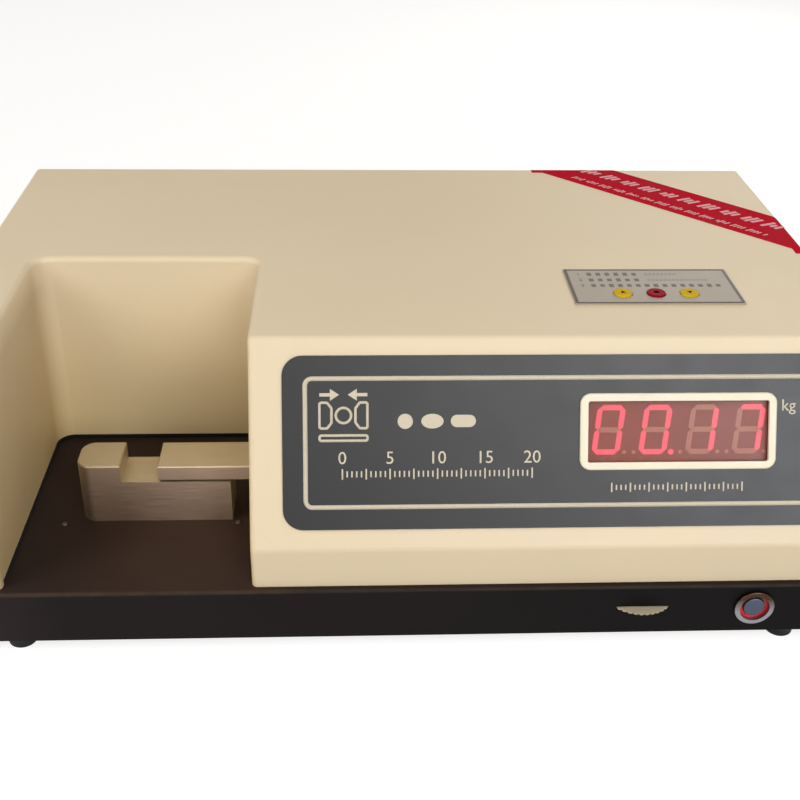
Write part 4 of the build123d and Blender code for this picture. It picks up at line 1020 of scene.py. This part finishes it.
@dataclass
class Workshop:
    """Where the sub-assemblies get their materials and put their pieces."""

    patterns: Patterns
    materials: dict[str, bpy.types.Material] = field(default_factory=dict)
    made: int = 0
    capital_share: float = 0.69
    never: int = 1000

    def material(self, choice: Slot | Extra) -> bpy.types.Material:
        """The material of a finish, made when it is first asked for.

        Args:
            choice: The finish.

        Returns:
            Its material.
        """
        finish: Finish = choice.value
        if finish.name not in self.materials:
            self.materials[finish.name] = finish.material()
        return self.materials[finish.name]

    def dress(self, *nodes: str) -> None:
        """Gives CAD nodes the finish of their slot in the record.

        Args:
            *nodes: The nodes' names.
        """
        slots = {part["node"]: part["material_slot"] for part in frame["record"]["subparts"]}
        for node in nodes:
            self.cover(node, Slot[slots[node].upper()])

    def cover(self, node: str, choice: Slot | Extra) -> None:
        """Gives one CAD node a finish in every slot of its mesh.

        Args:
            node: The node's name.
            choice: The finish.
        """
        for place in frame["nodes"][node].material_slots:
            place.material = self.material(choice)
        self.made += 1
        log.info("dressed %s as %s", node, choice.value.name)

    def put(
        self,
        name: str,
        mesh: bpy.types.Mesh,
        place: Matrix,
        choice: Slot | Extra,
        body: str = "root",
        slot: Slot | None = None,
        replaces: Sequence[str] = (),
    ) -> None:
        """Settles a mesh into the shared frame as a piece of its own, an object at the origin.

        Args:
            name: The piece's name.
            mesh: Its mesh, in millimetres.
            place: The matrix that moves it into the frame.
            choice: Its finish.
            body: The CAD body that it rides on.
            slot: The record's slot, where the piece has one; not used.
            replaces: CAD nodes that it stands for.
        """
        mesh.transform(place)
        mesh.name = name
        mesh.materials.clear()
        mesh.materials.append(self.material(choice))
        thing = placed(name, mesh)
        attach(thing, body)
        if replaces:
            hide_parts(*replaces)
        self.made += 1
        log.info("made %s on %s, %d faces", name, body, len(mesh.polygons))

    def lettering(self, text: str, height: float, thickness: float) -> bpy.types.Mesh:
        """Plain figures or a unit as a thin raised mesh, centred on the origin.

        Args:
            text: What it says.
            height: The height of a capital.
            thickness: How far it is raised.

        Returns:
            The mesh, in millimetres.
        """
        curve = bpy.data.curves.new("figures", "FONT")
        curve.body = text
        curve.align_x, curve.align_y = "CENTER", "CENTER"
        curve.size = height / self.capital_share
        curve.extrude = thickness / 2
        curve.resolution_u = 3
        mesh = settled("figures", placed("figures_carrier", curve))
        bpy.data.curves.remove(curve)
        return mesh

    def figures(
        self, name: str, marks: Iterable[tuple[str, float, float]], height: float, thickness: float
    ) -> bpy.types.Mesh:
        """Plain figures at several places, as one thin mesh.

        Args:
            name: The mesh's name.
            marks: What each figure says, and its middle.
            height: The height of a figure.
            thickness: How far they are raised.

        Returns:
            The mesh, in millimetres.
        """
        parts = []
        for text, x, y in marks:
            part = self.lettering(text, height, thickness)
            part.transform(Matrix.Translation((x, y, 0.0)))
            parts.append(part)
        return self.joined(name, parts)

    def row(self, name: str, choice: Extra, thickness: float, sizes: Mapping[str, Any]) -> bpy.types.Mesh:
        """A row of printed bars that starts at the origin and runs along x.

        Args:
            name: The mesh's name.
            choice: The ink.
            thickness: How far it is raised.
            sizes: The row's sizes by input name, over those of a plain row.

        Returns:
            The mesh, in millimetres, with its middle at z = 0.
        """
        plain = {"Slant": 0.0, "Least share": 1.0, "Seed": 1, "Every": self.never, "Tall share": 1.0}
        common = {"Group": self.never, "Thickness": thickness, "Finish": self.material(choice)}
        return self.patterns.row.grow(name, {**plain, **common, **sizes})

    def drawn(
        self,
        name: str,
        loops: Iterable[Sequence[Pair]],
        line: float,
        radius: float,
        thickness: float,
        choice: Extra,
    ) -> bpy.types.Mesh:
        """Closed outlines drawn with a line of even width.

        Args:
            name: The mesh's name.
            loops: The corners of each outline.
            line: The line's width.
            radius: How far each corner is rounded.
            thickness: How far the ink is raised.
            choice: The ink.

        Returns:
            The mesh, in millimetres, with its middle at z = 0.
        """
        seeds: list[Triple] = []
        links: list[tuple[int, int]] = []
        for loop in loops:
            first, count = len(seeds), len(loop)
            seeds += [(x, y, 0.0) for x, y in loop]
            links += [(first + number, first + (number + 1) % count) for number in range(count)]
        sizes = {"Radius": radius, "Line": line, "Thickness": thickness, "Finish": self.material(choice)}
        return self.patterns.line.grow(name, sizes, seeds, links)

    @staticmethod
    def joined(name: str, meshes: Iterable[bpy.types.Mesh]) -> bpy.types.Mesh:
        """Makes one mesh of several, and removes them.

        Args:
            name: The name of the whole.
            meshes: The parts.

        Returns:
            The mesh.
        """
        form = bmesh.new()
        for mesh in meshes:
            form.from_mesh(mesh)
            bpy.data.meshes.remove(mesh)
        made = bpy.data.meshes.new(name)
        form.to_mesh(made)
        form.free()
        return made


# Faces of the case that details are laid on

SLOPE_RUN, SLOPE_RISE = 39.2, 81.3
SLOPE = Face((0.0, -122.0, 51.2), (1.0, 0.0, 0.0), (0.0, SLOPE_RUN, SLOPE_RISE))
TAPE_TOP = Face((150.5, 73.5, 132.7), (1.0, -1.0, 0.0), (1.0, 1.0, 0.0))
TAPE_SIDE = Face((199.2, 25.0, 132.5), (0.0, -1.0, -1.0), (0.0, 1.0, -1.0))
TAPE_BACK = Face((102.0, 122.2, 132.5), (-1.0, 0.0, -1.0), (-1.0, 0.0, 1.0))


@dataclass
class Assembly:
    """A part of the scene that gets its materials from the workshop and puts its pieces there."""

    shop: Workshop

    def build(self) -> None:
        """Dresses the assembly's solids and makes its own pieces."""
        raise NotImplementedError(type(self).__name__)


@dataclass
class Studio(Assembly):
    """The floor, the soft lights and the camera, none of them part of the tester."""

    camera_place: Triple = (-25.42, -510.93, 357.13)
    yaw_degrees: float = 2.98
    pitch_degrees: float = 30.79
    roll_degrees: float = -1.18
    lens: float = 52.22
    floor_size: float = 6000.0
    floor_glow: float = 0.75
    ambient: float = 0.2
    front_power: float = 6.0
    left_power: float = 5.4
    back_power: float = 2.7
    sheen_power: float = 30.0

    def build(self) -> None:
        """Makes the floor, the world, the lamps and the camera."""
        self._floor()
        self._world()
        self._lamp("front_lamp", (240.0, -880.0, 640.0), 600.0, self.front_power, (1.0, 0.985, 0.965))
        self._lamp("left_lamp", (-850.0, -450.0, 750.0), 600.0, self.left_power, (1.0, 0.97, 0.935))
        self._lamp("back_lamp", (600.0, 950.0, 620.0), 700.0, self.back_power, (1.0, 0.96, 0.88))
        sheen = self._lamp("sheen_lamp", (1160.0, -2272.0, 820.0), 600.0, self.sheen_power, (0.9, 0.94, 1.0))
        sheen.visible_diffuse = False
        self._camera()
        bpy.context.scene.view_settings.view_transform = "Standard"
        log.info("studio ready")

    def _floor(self) -> None:
        """Lays a pale floor that the camera sees as white where no shadow falls."""
        half = self.floor_size / 2
        corners = [(-half, -half), (half, -half), (half, half), (-half, half)]
        mesh = Shaper.prism("floor", [corners], -5.0, -0.05)
        mesh.transform(Matrix.Scale(MM, 4))
        floor = placed("floor", mesh)
        material = self.shop.material(Extra.FLOOR)
        mesh.materials.append(material)
        tree = Tree(material.node_tree)
        inputs = material.node_tree.nodes["Principled BSDF"].inputs
        tree.feed(inputs["Emission Color"], WHITE)
        tree.feed(inputs["Emission Strength"], tree.product(self._open_rays(tree), self.floor_glow))

    @staticmethod
    def _open_rays(tree: Tree) -> Any:
        """Tells the rays of the camera, of a gloss or of a glass from those that light things.

        Args:
            tree: The tree that asks.

        Returns:
            The socket of a value that is 1 for the former and 0 for the latter.
        """
        rays = tree.add("ShaderNodeLightPath").outputs
        seen = tree.maths("MAXIMUM", rays["Is Camera Ray"], rays["Is Glossy Ray"])
        return tree.maths("MAXIMUM", seen, rays["Is Transmission Ray"])

    def _world(self) -> None:
        """Lights everything softly, and shows white to the camera and to reflections."""
        world = bpy.data.worlds.new("studio_world")
        world.use_nodes = True
        world.node_tree.nodes.clear()
        tree = Tree(world.node_tree)
        soft = tree.add("ShaderNodeBackground", {"Color": (1.0, 0.9, 0.74, 1.0), "Strength": self.ambient})
        white = tree.add("ShaderNodeBackground", {"Color": WHITE, "Strength": 1.0})
        inputs = {0: self._open_rays(tree), 1: soft.outputs[0], 2: white.outputs[0]}
        mix = tree.add("ShaderNodeMixShader", inputs)
        tree.add("ShaderNodeOutputWorld", {"Surface": mix.outputs[0]})
        bpy.context.scene.world = world

    def _lamp(self, name: str, place: Triple, size: float, power: float, colour: Triple) -> bpy.types.Object:
        """Hangs a square soft lamp that looks at the tester.

        Args:
            name: The lamp's name.
            place: Where it hangs.
            size: The length of its sides.
            power: Its power in watts.
            colour: Its colour in light values.

        Returns:
            The lamp.
        """
        data = bpy.data.lights.new(name, "AREA")
        data.size, data.energy = size * MM, power
        data.color = colour
        lamp = placed(name, data)
        lamp.location = Vector(place) * MM
        aim = Vector((0.0, 0.0, 60.0)) * MM - lamp.location
        lamp.rotation_euler = aim.to_track_quat("-Z", "Y").to_euler()
        return lamp

    def _camera(self) -> None:
        """Sets the camera at the photograph's place."""
        yaw, pitch, roll = map(math.radians, (self.yaw_degrees, self.pitch_degrees, self.roll_degrees))
        ahead = Vector((math.sin(yaw) * math.cos(pitch), math.cos(yaw) * math.cos(pitch), -math.sin(pitch)))
        level = Vector((math.cos(yaw), -math.sin(yaw), 0.0))
        fall = ahead.cross(level)
        right = level * math.cos(roll) + fall * math.sin(roll)
        down = fall * math.cos(roll) - level * math.sin(roll)
        data = bpy.data.cameras.new("camera")
        data.lens, data.sensor_width, data.sensor_fit = self.lens, 36.0, "HORIZONTAL"
        data.clip_start, data.clip_end = 0.01, 50.0
        camera = placed("camera", data)
        turn = Matrix((right, -down, -ahead)).transposed().to_4x4()
        camera.matrix_world = Matrix.Translation(Vector(self.camera_place) * MM) @ turn
        bpy.context.scene.camera = camera


@dataclass
class ScrewHead:
    """A pan-head screw with a cross recess."""

    head_radius: float = 1.3
    head_height: float = 0.9
    shank_radius: float = 0.9
    shank_length: float = 3.0
    recess_share: float = 0.6
    recess_half_share: float = 0.14
    recess_depth: float = 0.5

    def mesh(self, name: str) -> bpy.types.Mesh:
        """Makes the screw with its head above z = 0 and its shank below.

        Args:
            name: The mesh's name.

        Returns:
            The mesh, in millimetres.
        """
        dome = Shaper.arc((self.head_radius - 0.5, 0.3), (0.5, self.head_height - 0.5), (-5, 78), 6)
        profile = [(0.0, -self.shank_length), (self.shank_radius * 0.6, -self.shank_length)]
        profile += [(self.shank_radius, -self.shank_length + 0.6), (self.shank_radius, 0.0)]
        profile += [(self.head_radius, 0.0), *dome]
        profile += [(self.head_radius * 0.3, self.head_height), (0.0, self.head_height)]
        return self._crossed(name, Shaper.lathe(name, profile, 24))

    def _crossed(self, name: str, head: bpy.types.Mesh) -> bpy.types.Mesh:
        """Cuts the cross recess into the head.

        Args:
            name: The mesh's name.
            head: The turned screw.

        Returns:
            The mesh with the recess.
        """
        reach, half = self.head_radius * self.recess_share, self.head_radius * self.recess_half_share
        star = [(reach, half), (half, half), (half, reach), (-half, reach), (-half, half), (-reach, half)]
        star += [(-x, -y) for x, y in star]
        cross = Shaper.prism("cross", [star], self.head_height - self.recess_depth, self.head_height + 1)
        screw, cutter = placed("screw_form", head), placed("cross_form", cross)
        cut = screw.modifiers.new("recess", "BOOLEAN")
        cut.operation, cut.solver, cut.object = "DIFFERENCE", "EXACT", cutter
        made = settled(name, screw)
        bpy.data.objects.remove(cutter)
        return made

    def set_out(self, shop: Workshop, name: str, places: Sequence[Triple]) -> bpy.types.Mesh:
        """Copies the screw to several places.

        Args:
            shop: The workshop.
            name: The name of the whole set.
            places: The heads' seats on the face that carries them.

        Returns:
            One mesh with all the screws.
        """
        model = placed(name + "_model", self.mesh(name + "_one"))
        made = shop.patterns.screws.grow(name, {"Model": model, "Seed": len(name)}, places)
        bpy.data.objects.remove(model)
        return made


@dataclass
class Case(Assembly):
    """The cream cover, the dark base under it, its feet, its screws and the seal across one corner."""

    deck_z: float = 32.0
    deck_screws: tuple[Pair, Pair] = ((-155.9, -75.9), (-76.6, -75.9))
    foot_places: tuple[Pair, ...] = ((-169.6, -116.8), (169.6, -116.8), (-169.6, 116.8), (169.6, 116.8))
    foot_height: float = 6.0
    foot_top_radius: float = 7.5
    foot_tip_radius: float = 6.2
    foot_hole_radius: float = 3.6
    foot_hole_depth: float = 3.2
    foot_bore_radius: float = 1.6
    bay: Triple = (-173.0, -67.2, -2.0)
    bay_front: float = -118.0
    bay_corner: float = 8.0
    # A dark strip of painted shadow where the bay's walls meet the deck.
    gasket_height: float = 2.1
    gasket_proud: float = 0.5
    gasket_sunk: float = 0.2
    clearance: float = 0.02
    tape_ink: float = 0.06

    def build(self) -> None:
        """Dresses the case and adds its screws, feet, a dark strip of painted shadow at the foot of the bay
        and seal.
        """
        self.shop.dress("base_tray", "bottom_plate", "bottom_screws", "under_deck_screws", "top_cover")
        self.shop.dress("seal_tape")
        self._deck_screws()
        self._feet()
        self._gasket()
        self._seal_print()

    def _deck_screws(self) -> None:
        """Sets two small screws beside the anvil."""
        name, places = "deck_screw_pair", [(x, y, 0.0) for x, y in self.deck_screws]
        mesh = ScrewHead().set_out(self.shop, name, places)
        place = Face((0.0, 0.0, self.deck_z)).matrix()
        self.shop.put(name, mesh, place, Extra.DULL_STEEL, slot=Slot.PLATED_STEEL, replaces=["deck_screws"])

    def _feet(self) -> None:
        """Turns four rubber feet with round lips and a sunk screw hole."""
        hole, height = self.foot_hole_radius, self.foot_height
        top, tip = self.foot_top_radius, self.foot_tip_radius
        profile = [(hole, 0.25), (hole + 0.3, 0.0)]
        profile += Shaper.arc((tip - 0.5, 0.5), (0.5, 0.5), (-90, 0), 5)
        profile += [(tip + 0.25, height * 0.5), (top - 0.25, height - 0.9), (top, height - 0.6)]
        profile += [(top, height), (self.foot_bore_radius, height)]
        profile += [(self.foot_bore_radius, self.foot_hole_depth), (hole, self.foot_hole_depth)]
        for number, (x, y) in enumerate(self.foot_places, 1):
            name, place = f"rubber_foot_{number}", Face((x, y, 0.0)).matrix()
            mesh = Shaper.lathe(name, profile, 40)
            self.shop.put(name, mesh, place, Slot.RUBBER_BLACK, replaces=[f"foot_{number}"])

    def _gasket(self) -> None:
        """Lays a thin dark strip of painted shadow along the foot of the bay's walls, where the cover stands
        on the deck.
        """
        left, right, back = self.bay
        outline: list[Pair] = []
        for inset in (-self.gasket_sunk, self.gasket_proud):
            reach, bend = self.bay_corner, self.bay_corner - inset
            path: list[Pair] = [(left + inset, self.bay_front)]
            path += Shaper.arc((left + reach, back - reach), (bend, bend), (180, 90), 8)
            path += Shaper.arc((right - reach, back - reach), (bend, bend), (90, 0), 8)
            path.append((right - inset, self.bay_front))
            outline += path if inset < 0 else path[::-1]
        low, high = self.deck_z + self.clearance, self.deck_z + self.gasket_height
        mesh = Shaper.prism("bay_gasket", [outline], low, high)
        self.shop.put("bay_gasket", mesh, Face((0.0, 0.0, 0.0)).matrix(), Slot.RUBBER_BLACK)

    def _seal_print(self) -> None:
        """Prints rows of slanted dashes along the seal and on its flaps."""
        slant = {"Slant": math.radians(-24)}
        large = {**slant, "Pitch": 3.1, "Width": 1.9, "Height": 9.6, "Least share": 0.45, "Group": 4}
        small = {**slant, "Pitch": 1.8, "Width": 0.9, "Height": 4.6, "Least share": 0.4, "Group": 5}
        rows = []
        for name, sizes, count, level in (("upper", large, 39, 4.2), ("lower", small, 66, -9.6)):
            start = -(count - 1) * sizes["Pitch"] / 2
            rows.append((name, TAPE_TOP, start, level, {**sizes, "Count": count, "Seed": count}))
        for side, face, sign in (("side", TAPE_SIDE, 1), ("back", TAPE_BACK, -1)):
            for number, (level, first, count) in enumerate(((6.2, 2.4, 8), (-6.6, 14.0, 5)), 1):
                sizes = {**large, "Height": 6.0, "Count": count, "Seed": 10 * number + len(side)}
                rows.append((f"{side}_{number}", face, first, sign * level, sizes))
        for label, face, start, level, sizes in rows:
            name = f"seal_print_{label}"
            mesh = self.shop.row(name, Extra.TAPE_INK, self.tape_ink, sizes)
            place = face.matrix(start, level, self.clearance)
            self.shop.put(name, mesh, place, Extra.TAPE_INK, slot=Slot.TAPE_RED)


@dataclass
class FrontPanel(Assembly):
    """The charcoal panel on the slope, with its printed line, pictures of tablets, scale and unit."""

    left: float = -53.0
    right: float = 184.8
    low: float = 9.0
    high: float = 82.457
    line_inset: float = 9.6
    line_width: float = 1.9
    line_radius: float = 2.9
    ink: float = 0.06
    surface: float = 1.0
    scale_start: float = -28.0
    tick_pitch: float = 2.0

    def build(self) -> None:
        """Dresses the panel and prints it."""
        self.shop.dress("front_panel")
        self._line()
        self._pictogram()
        self._tablets()
        self._scales()
        self._print("unit_mark", self.shop.lettering("kg", 4.8, self.ink), 161.2, 60.4)

    def _print(self, name: str, mesh: bpy.types.Mesh, x: float = 0.0, s: float = 0.0) -> None:
        """Puts a printed mesh on the panel, x across it and s up it."""
        place = SLOPE.matrix(x, s, self.surface + self.ink / 2)
        self.shop.put(name, mesh, place, Extra.LINE_INK, slot=Slot.PANEL_CHARCOAL)

    def _line(self) -> None:
        """Prints the line that runs round the panel."""
        left, right = self.left + self.line_inset, self.right - self.line_inset
        low, high = self.low + self.line_inset, self.high - self.line_inset
        loop = [(left, low), (right, low), (right, high), (left, high)]
        sizes = (self.line_width, self.line_radius, self.ink)
        self._print("panel_line", self.shop.drawn("panel_line", [loop], *sizes, Extra.LINE_INK))

    def _pictogram(self) -> None:
        """Draws a tablet between two jaws, with the bed under them and an arrow over each."""
        jaw = [(-10.0, -5.4), (-6.8, -5.4), (-5.0, -3.0), (-5.0, 3.0), (-6.8, 5.4), (-10.0, 5.4)]
        bed = [(-10.0, -10.6), (10.0, -10.6), (10.0, -8.4), (-10.0, -8.4)]
        arrow = [(-10.0, 9.4), (-5.6, 9.4), (-5.6, 11.2), (-1.8, 8.7), (-5.6, 6.2), (-5.6, 8.0), (-10.0, 8.0)]
        other, facing = ([(-x, y) for x, y in reversed(form)] for form in (jaw, arrow))
        tablet = Shaper.arc((0.0, 0.0), (3.2, 3.2), (0, 350), 35)
        lines = self.shop.drawn("jaw_lines", (jaw, other, bed), 1.1, 0.8, self.ink, Extra.LINE_INK)
        ring = self.shop.drawn("tablet_line", [tablet], 1.1, 0.0, self.ink, Extra.LINE_INK)
        arrows = Shaper.prism("arrows", (arrow, facing), -self.ink / 2, self.ink / 2)
        self._print("jaw_pictogram", self.shop.joined("jaw_pictogram", (lines, ring, arrows)), -27.4, 57.4)

    def _tablets(self) -> None:
        """Prints three plain tablet shapes."""
        s = 54.8
        discs = ((-1.6, (3.2, 3.2)), (9.8, (4.7, 3.1)))
        shapes = [Shaper.arc((x, s), radius, (0, 350), 35) for x, radius in discs]
        shapes.append(Shaper.pill((22.8, s), 10.6, 5.2))
        mesh = Shaper.prism("tablet_shapes", shapes, -0.02 - self.ink / 2, self.ink / 2)
        self._print("tablet_shapes", mesh)

    def _scales(self) -> None:
        """Prints a plain scale with figures, and a finer one under the display."""
        shop, ticks = self.shop, (Extra.LINE_INK, self.ink)
        common = {"Pitch": self.tick_pitch, "Width": 0.6}
        plain = {**common, "Count": 41, "Height": 2.6, "Every": 5, "Tall share": 1.7}
        fine = {**common, "Count": 29, "Height": 2.2, "Every": 4, "Tall share": 1.8}
        step = 10 * self.tick_pitch
        marks = [(str(number * 5), self.scale_start + number * step, 39.2) for number in range(5)]
        self._print("panel_scale", shop.row("panel_scale", *ticks, plain), self.scale_start, 32.6)
        self._print("scale_figures", shop.figures("scale_figures", marks, 5.2, self.ink))
        self._print("fine_scale", shop.row("fine_scale", *ticks, fine), 86.0, 26.0)


class Stroke(Enum):
    """The strokes of a numeral, as the two ends that each joins: x and y from -1 to 1."""

    TOP = ((-1, 1), (1, 1))
    HIGH_RIGHT = ((1, 1), (1, 0))
    LOW_RIGHT = ((1, 0), (1, -1))
    BOTTOM = ((-1, -1), (1, -1))
    LOW_LEFT = ((-1, 0), (-1, -1))
    HIGH_LEFT = ((-1, 1), (-1, 0))
    MIDDLE = ((-1, 0), (1, 0))


LIT_STROKES: dict[int, set[Stroke]] = {
    0: set(Stroke) - {Stroke.MIDDLE},
    1: {Stroke.HIGH_RIGHT, Stroke.LOW_RIGHT},
    7: {Stroke.TOP, Stroke.HIGH_RIGHT, Stroke.LOW_RIGHT},
}


@dataclass
class NumberDisplay(Assembly):
    """The red display: bezel, filter and four numeral blocks that show a reading."""

    centre_x: float = 114.0
    centre_s: float = 49.867
    pitch: float = 20.1
    shift: Pair = (1.2, 0.35)
    width: float = 12.1
    height: float = 21.2
    stroke: float = 2.25
    gap: float = 0.06
    slant_degrees: float = 7.6
    dot_radius: float = 1.0
    lit_dot_share: float = 1.25
    dark_dot_share: float = 0.85
    reading: tuple[int, ...] = (0, 0, 1, 7)
    point_after: int = 2
    face: float = -2.2

    @property
    def lean(self) -> float:
        """How far the numerals lean over for each millimetre of height."""
        return math.tan(math.radians(self.slant_degrees))

    def build(self) -> None:
        """Dresses the display and makes its strokes."""
        self.shop.dress("display_bezel", "display_window", "display_board")
        for number, shown in enumerate(self.reading, 1):
            self.shop.dress(f"digit_{number}")
            lit, dark = self._outlines(number, shown)
            x = self.centre_x + self.shift[0] + (number - (len(self.reading) + 1) / 2) * self.pitch
            place = SLOPE.matrix(x, self.centre_s + self.shift[1], self.face)
            kinds = (("lit", lit, Extra.LIT_STROKE), ("dark", dark, Extra.DARK_STROKE))
            for label, outlines, choice in kinds:
                name = f"{label}_strokes_{number}"
                mesh = Shaper.prism(name, outlines, 0.01, 0.12)
                self.shop.put(name, mesh, place, choice, slot=Slot.DIGIT_FACE)

    def _outlines(self, number: int, shown: int) -> tuple[list[list[Pair]], list[list[Pair]]]:
        """The strokes and points of one numeral.

        Args:
            number: The block's number, counted from the left.
            shown: The figure that it shows.

        Returns:
            The outlines of what is lit, and of what isn't.
        """
        lit, dark = [], []
        for stroke in Stroke:
            (lit if stroke in LIT_STROKES[shown] else dark).append(self._stroke(stroke))
        for side in (-1, 1):
            on = number == self.point_after and side == 1
            (lit if on else dark).append(self._point(side, self.lit_dot_share if on else self.dark_dot_share))
        return lit, dark

    def _stroke(self, stroke: Stroke) -> list[Pair]:
        """The six-cornered outline of one stroke, leaning with the numeral.

        Args:
            stroke: Which of the seven.

        Returns:
            The outline's points.
        """
        half_w, half_h = (self.width - self.stroke) / 2, (self.height - self.stroke) / 2
        (x0, y0), (x1, y1) = stroke.value
        start, end = Vector((x0 * half_w, y0 * half_h)), Vector((x1 * half_w, y1 * half_h))
        along = (end - start).normalized()
        aside = Vector((-along.y, along.x)) * self.stroke / 2
        tip, shoulder = along * self.gap, along * (self.gap + self.stroke / 2)
        corners = [start + tip, start + shoulder + aside, end - shoulder + aside]
        corners += [end - tip, end - shoulder - aside, start + shoulder - aside]
        return [(corner.x + corner.y * self.lean, corner.y) for corner in corners]

    def _point(self, side: int, share: float) -> list[Pair]:
        """The round outline of a decimal point beside the numeral's foot.

        Args:
            side: Which side of the numeral, -1 or 1.
            share: The point's size as a share of the usual.

        Returns:
            The outline's points.
        """
        base, radius = -self.height / 2 + self.dot_radius, self.dot_radius * share
        centre = (side * (self.width / 2 + 2 * self.dot_radius) + base * self.lean, base)
        return Shaper.arc(centre, (radius, radius), (0, 345), 23)


@dataclass
class Keypad(Assembly):
    """The grey label on the top with its rows of dashes and three keys."""

    centre: Pair = (113.2, -35.7)
    width: float = 76.2
    depth: float = 36.4
    top_z: float = 133.3
    key_y: float = -43.8
    key_pitch: float = 15.15
    crown_z: float = 134.1
    border: float = 1.4
    margin: float = 0.2
    ink: float = 0.05

    def build(self) -> None:
        """Dresses the label and its keys, and prints them."""
        self.shop.dress("keypad_plate", "key_switches", "key_board", "key_cap_1", "key_cap_2", "key_cap_3")
        self._border()
        self._rows()
        self._marks()

    def _print(self, name: str, mesh: bpy.types.Mesh, choice: Extra, x: float = 0.0, y: float = 0.0) -> None:
        """Puts a printed mesh on the label."""
        place = Face((x, y, self.top_z)).matrix(0, 0, self.ink / 2)
        self.shop.put(name, mesh, place, choice, slot=Slot.KEYPAD_GREY)

    def _border(self) -> None:
        """Prints the dark line along the label's edge."""
        right, back = ((size - self.border) / 2 - self.margin for size in (self.width, self.depth))
        loop = [(-right, -back), (right, -back), (right, back), (-right, back)]
        mesh = self.shop.drawn("label_border", [loop], self.border, 0.4, self.ink, Extra.LABEL_INK)
        self._print("label_border", mesh, Extra.LABEL_INK, *self.centre)

    def _rows(self) -> None:
        """Prints numbered rows of plain dashes, dark ones and pale ones."""
        left, back = self.centre[0] - self.width / 2, self.centre[1] + self.depth / 2
        dark = [(11.3, -5.6, 6, 4.2, 2.1), (11.3, -11.8, 6, 4.2, 2.1), (11.3, -17.8, 15, 4.1, 2.1)]
        pale = [(38.0, -5.6, 8, 1.9, 1.2), (38.0, -11.8, 15, 1.9, 1.2)]
        for label, rows, choice in (("dark", dark, Extra.LABEL_INK), ("pale", pale, Extra.PALE_INK)):
            for number, (x, y, count, pitch, size) in enumerate(rows, 1):
                name = f"label_row_{label}_{number}"
                sizes = {"Count": count, "Pitch": pitch, "Width": size, "Height": size * 1.6}
                sizes |= {"Least share": 0.75, "Seed": number * 3}
                self._print(name, self.shop.row(name, choice, self.ink, sizes), choice, left + x, back + y)
        marks = [(str(number), left + row[0] - 5.0, back + row[1]) for number, row in enumerate(dark, 1)]
        mesh = self.shop.figures("label_figures", marks, 2.6, self.ink)
        self._print("label_figures", mesh, Extra.LABEL_INK)

    def _marks(self) -> None:
        """Prints a small mark on each key: up, stop and down."""
        up = [(-1.3, -0.9), (1.3, -0.9), (0.0, 1.4)]
        stop = [(-1.2, -0.9), (1.2, -0.9), (1.2, 0.9), (-1.2, 0.9)]
        down = [(-u, -v) for u, v in up]
        for number, mark in enumerate((up, stop, down), 1):
            x = self.centre[0] + (number - 2) * self.key_pitch
            mesh = Shaper.prism(f"key_mark_{number}", [mark], -0.02, self.ink)
            place = Face((x, self.key_y, self.crown_z)).matrix(0, 0, -self.ink)
            self.shop.put(f"key_mark_{number}", mesh, place, Extra.MARK_INK, f"key_{number}", Slot.KEY_YELLOW)


@dataclass
class CrushingJaws(Assembly):
    """The fixed anvil and the jaw that slides over its shelf."""

    def build(self) -> None:
        """Dresses the anvil, the jaw and the rod that pushes it."""
        self.shop.dress("anvil_block", "moving_jaw", "push_rod")


@dataclass
class Drive(Assembly):
    """The screw drive inside the case."""

    def build(self) -> None:
        """Dresses the drive's parts, the lead screw with its thread."""
        self.shop.dress("load_cell", "carriage", "lead_nut", "slide_bushes", "front_block", "push_rod_bush")
        self.shop.dress("rear_block", "screw_bearing", "shaft_coupling", "motor_shaft", "motor_bracket")
        self.shop.dress("drive_motor", "short_screws", "drive_chassis", "travel_sensors")
        self.shop.dress("guide_rod_1", "guide_rod_2")
        self.shop.cover("lead_screw", Extra.THREAD_STEEL)


@dataclass
class PowerButton(Assembly):
    """The round power button in the base's front: bezel, lit ring and cap."""

    def build(self) -> None:
        """Dresses the button."""
        self.shop.dress("button_bezel", "button_lens", "button_cap")


@dataclass
class ZeroAdjuster(Assembly):
    """The ivory thumb wheel in the base's front and the part that it turns."""

    def build(self) -> None:
        """Dresses the wheel."""
        self.shop.dress("zero_wheel", "zero_potentiometer")


@dataclass
class RearSide(Assembly):
    """The rear panel with the mains inlet and the fuse, whose cap has ribs for the fingers."""

    fuse_place: Triple = (138.84, 125.6, 64.0)
    rib_count: int = 24
    rib_radius: float = 6.55
    rib_size: Triple = (0.7, 0.6, 6.4)

    def build(self) -> None:
        """Dresses the rear panel and what it carries, and adds the cap's ribs."""
        self.shop.dress("rear_panel", "mains_inlet", "inlet_pins", "fuse_holder", "fuse_cap")
        width, depth, height = self.rib_size
        sizes = {"Count": self.rib_count, "Radius": self.rib_radius, "Width": width, "Depth": depth}
        sizes |= {"Height": height, "Finish": self.shop.material(Slot.BLACK_PLASTIC)}
        mesh = self.shop.patterns.ring.grow("fuse_cap_ribs", sizes)
        place = Face(self.fuse_place, (-1.0, 0.0, 0.0), (0.0, 0.0, 1.0)).matrix()
        self.shop.put("fuse_cap_ribs", mesh, place, Slot.BLACK_PLASTIC, "fuse_cap")


@dataclass
class Electronics(Assembly):
    """The boards and the transformer inside the case."""

    def build(self) -> None:
        """Dresses the boards and the transformer."""
        self.shop.dress("main_board", "board_components", "transformer_core", "transformer_coil")


def main() -> None:
    """Builds the tester's looks in order and reports each piece."""
    logging.basicConfig(level=logging.INFO, format="%(message)s")
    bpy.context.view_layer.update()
    shop = Workshop(Patterns())
    kinds = (Studio, Case, FrontPanel, NumberDisplay, Keypad, CrushingJaws, Drive, PowerButton)
    for kind in (*kinds, ZeroAdjuster, RearSide, Electronics):
        log.info("%s", kind.__name__)
        kind(shop).build()
    log.info("%d pieces made or dressed", shop.made)


if __name__ == "__main__":
    main()
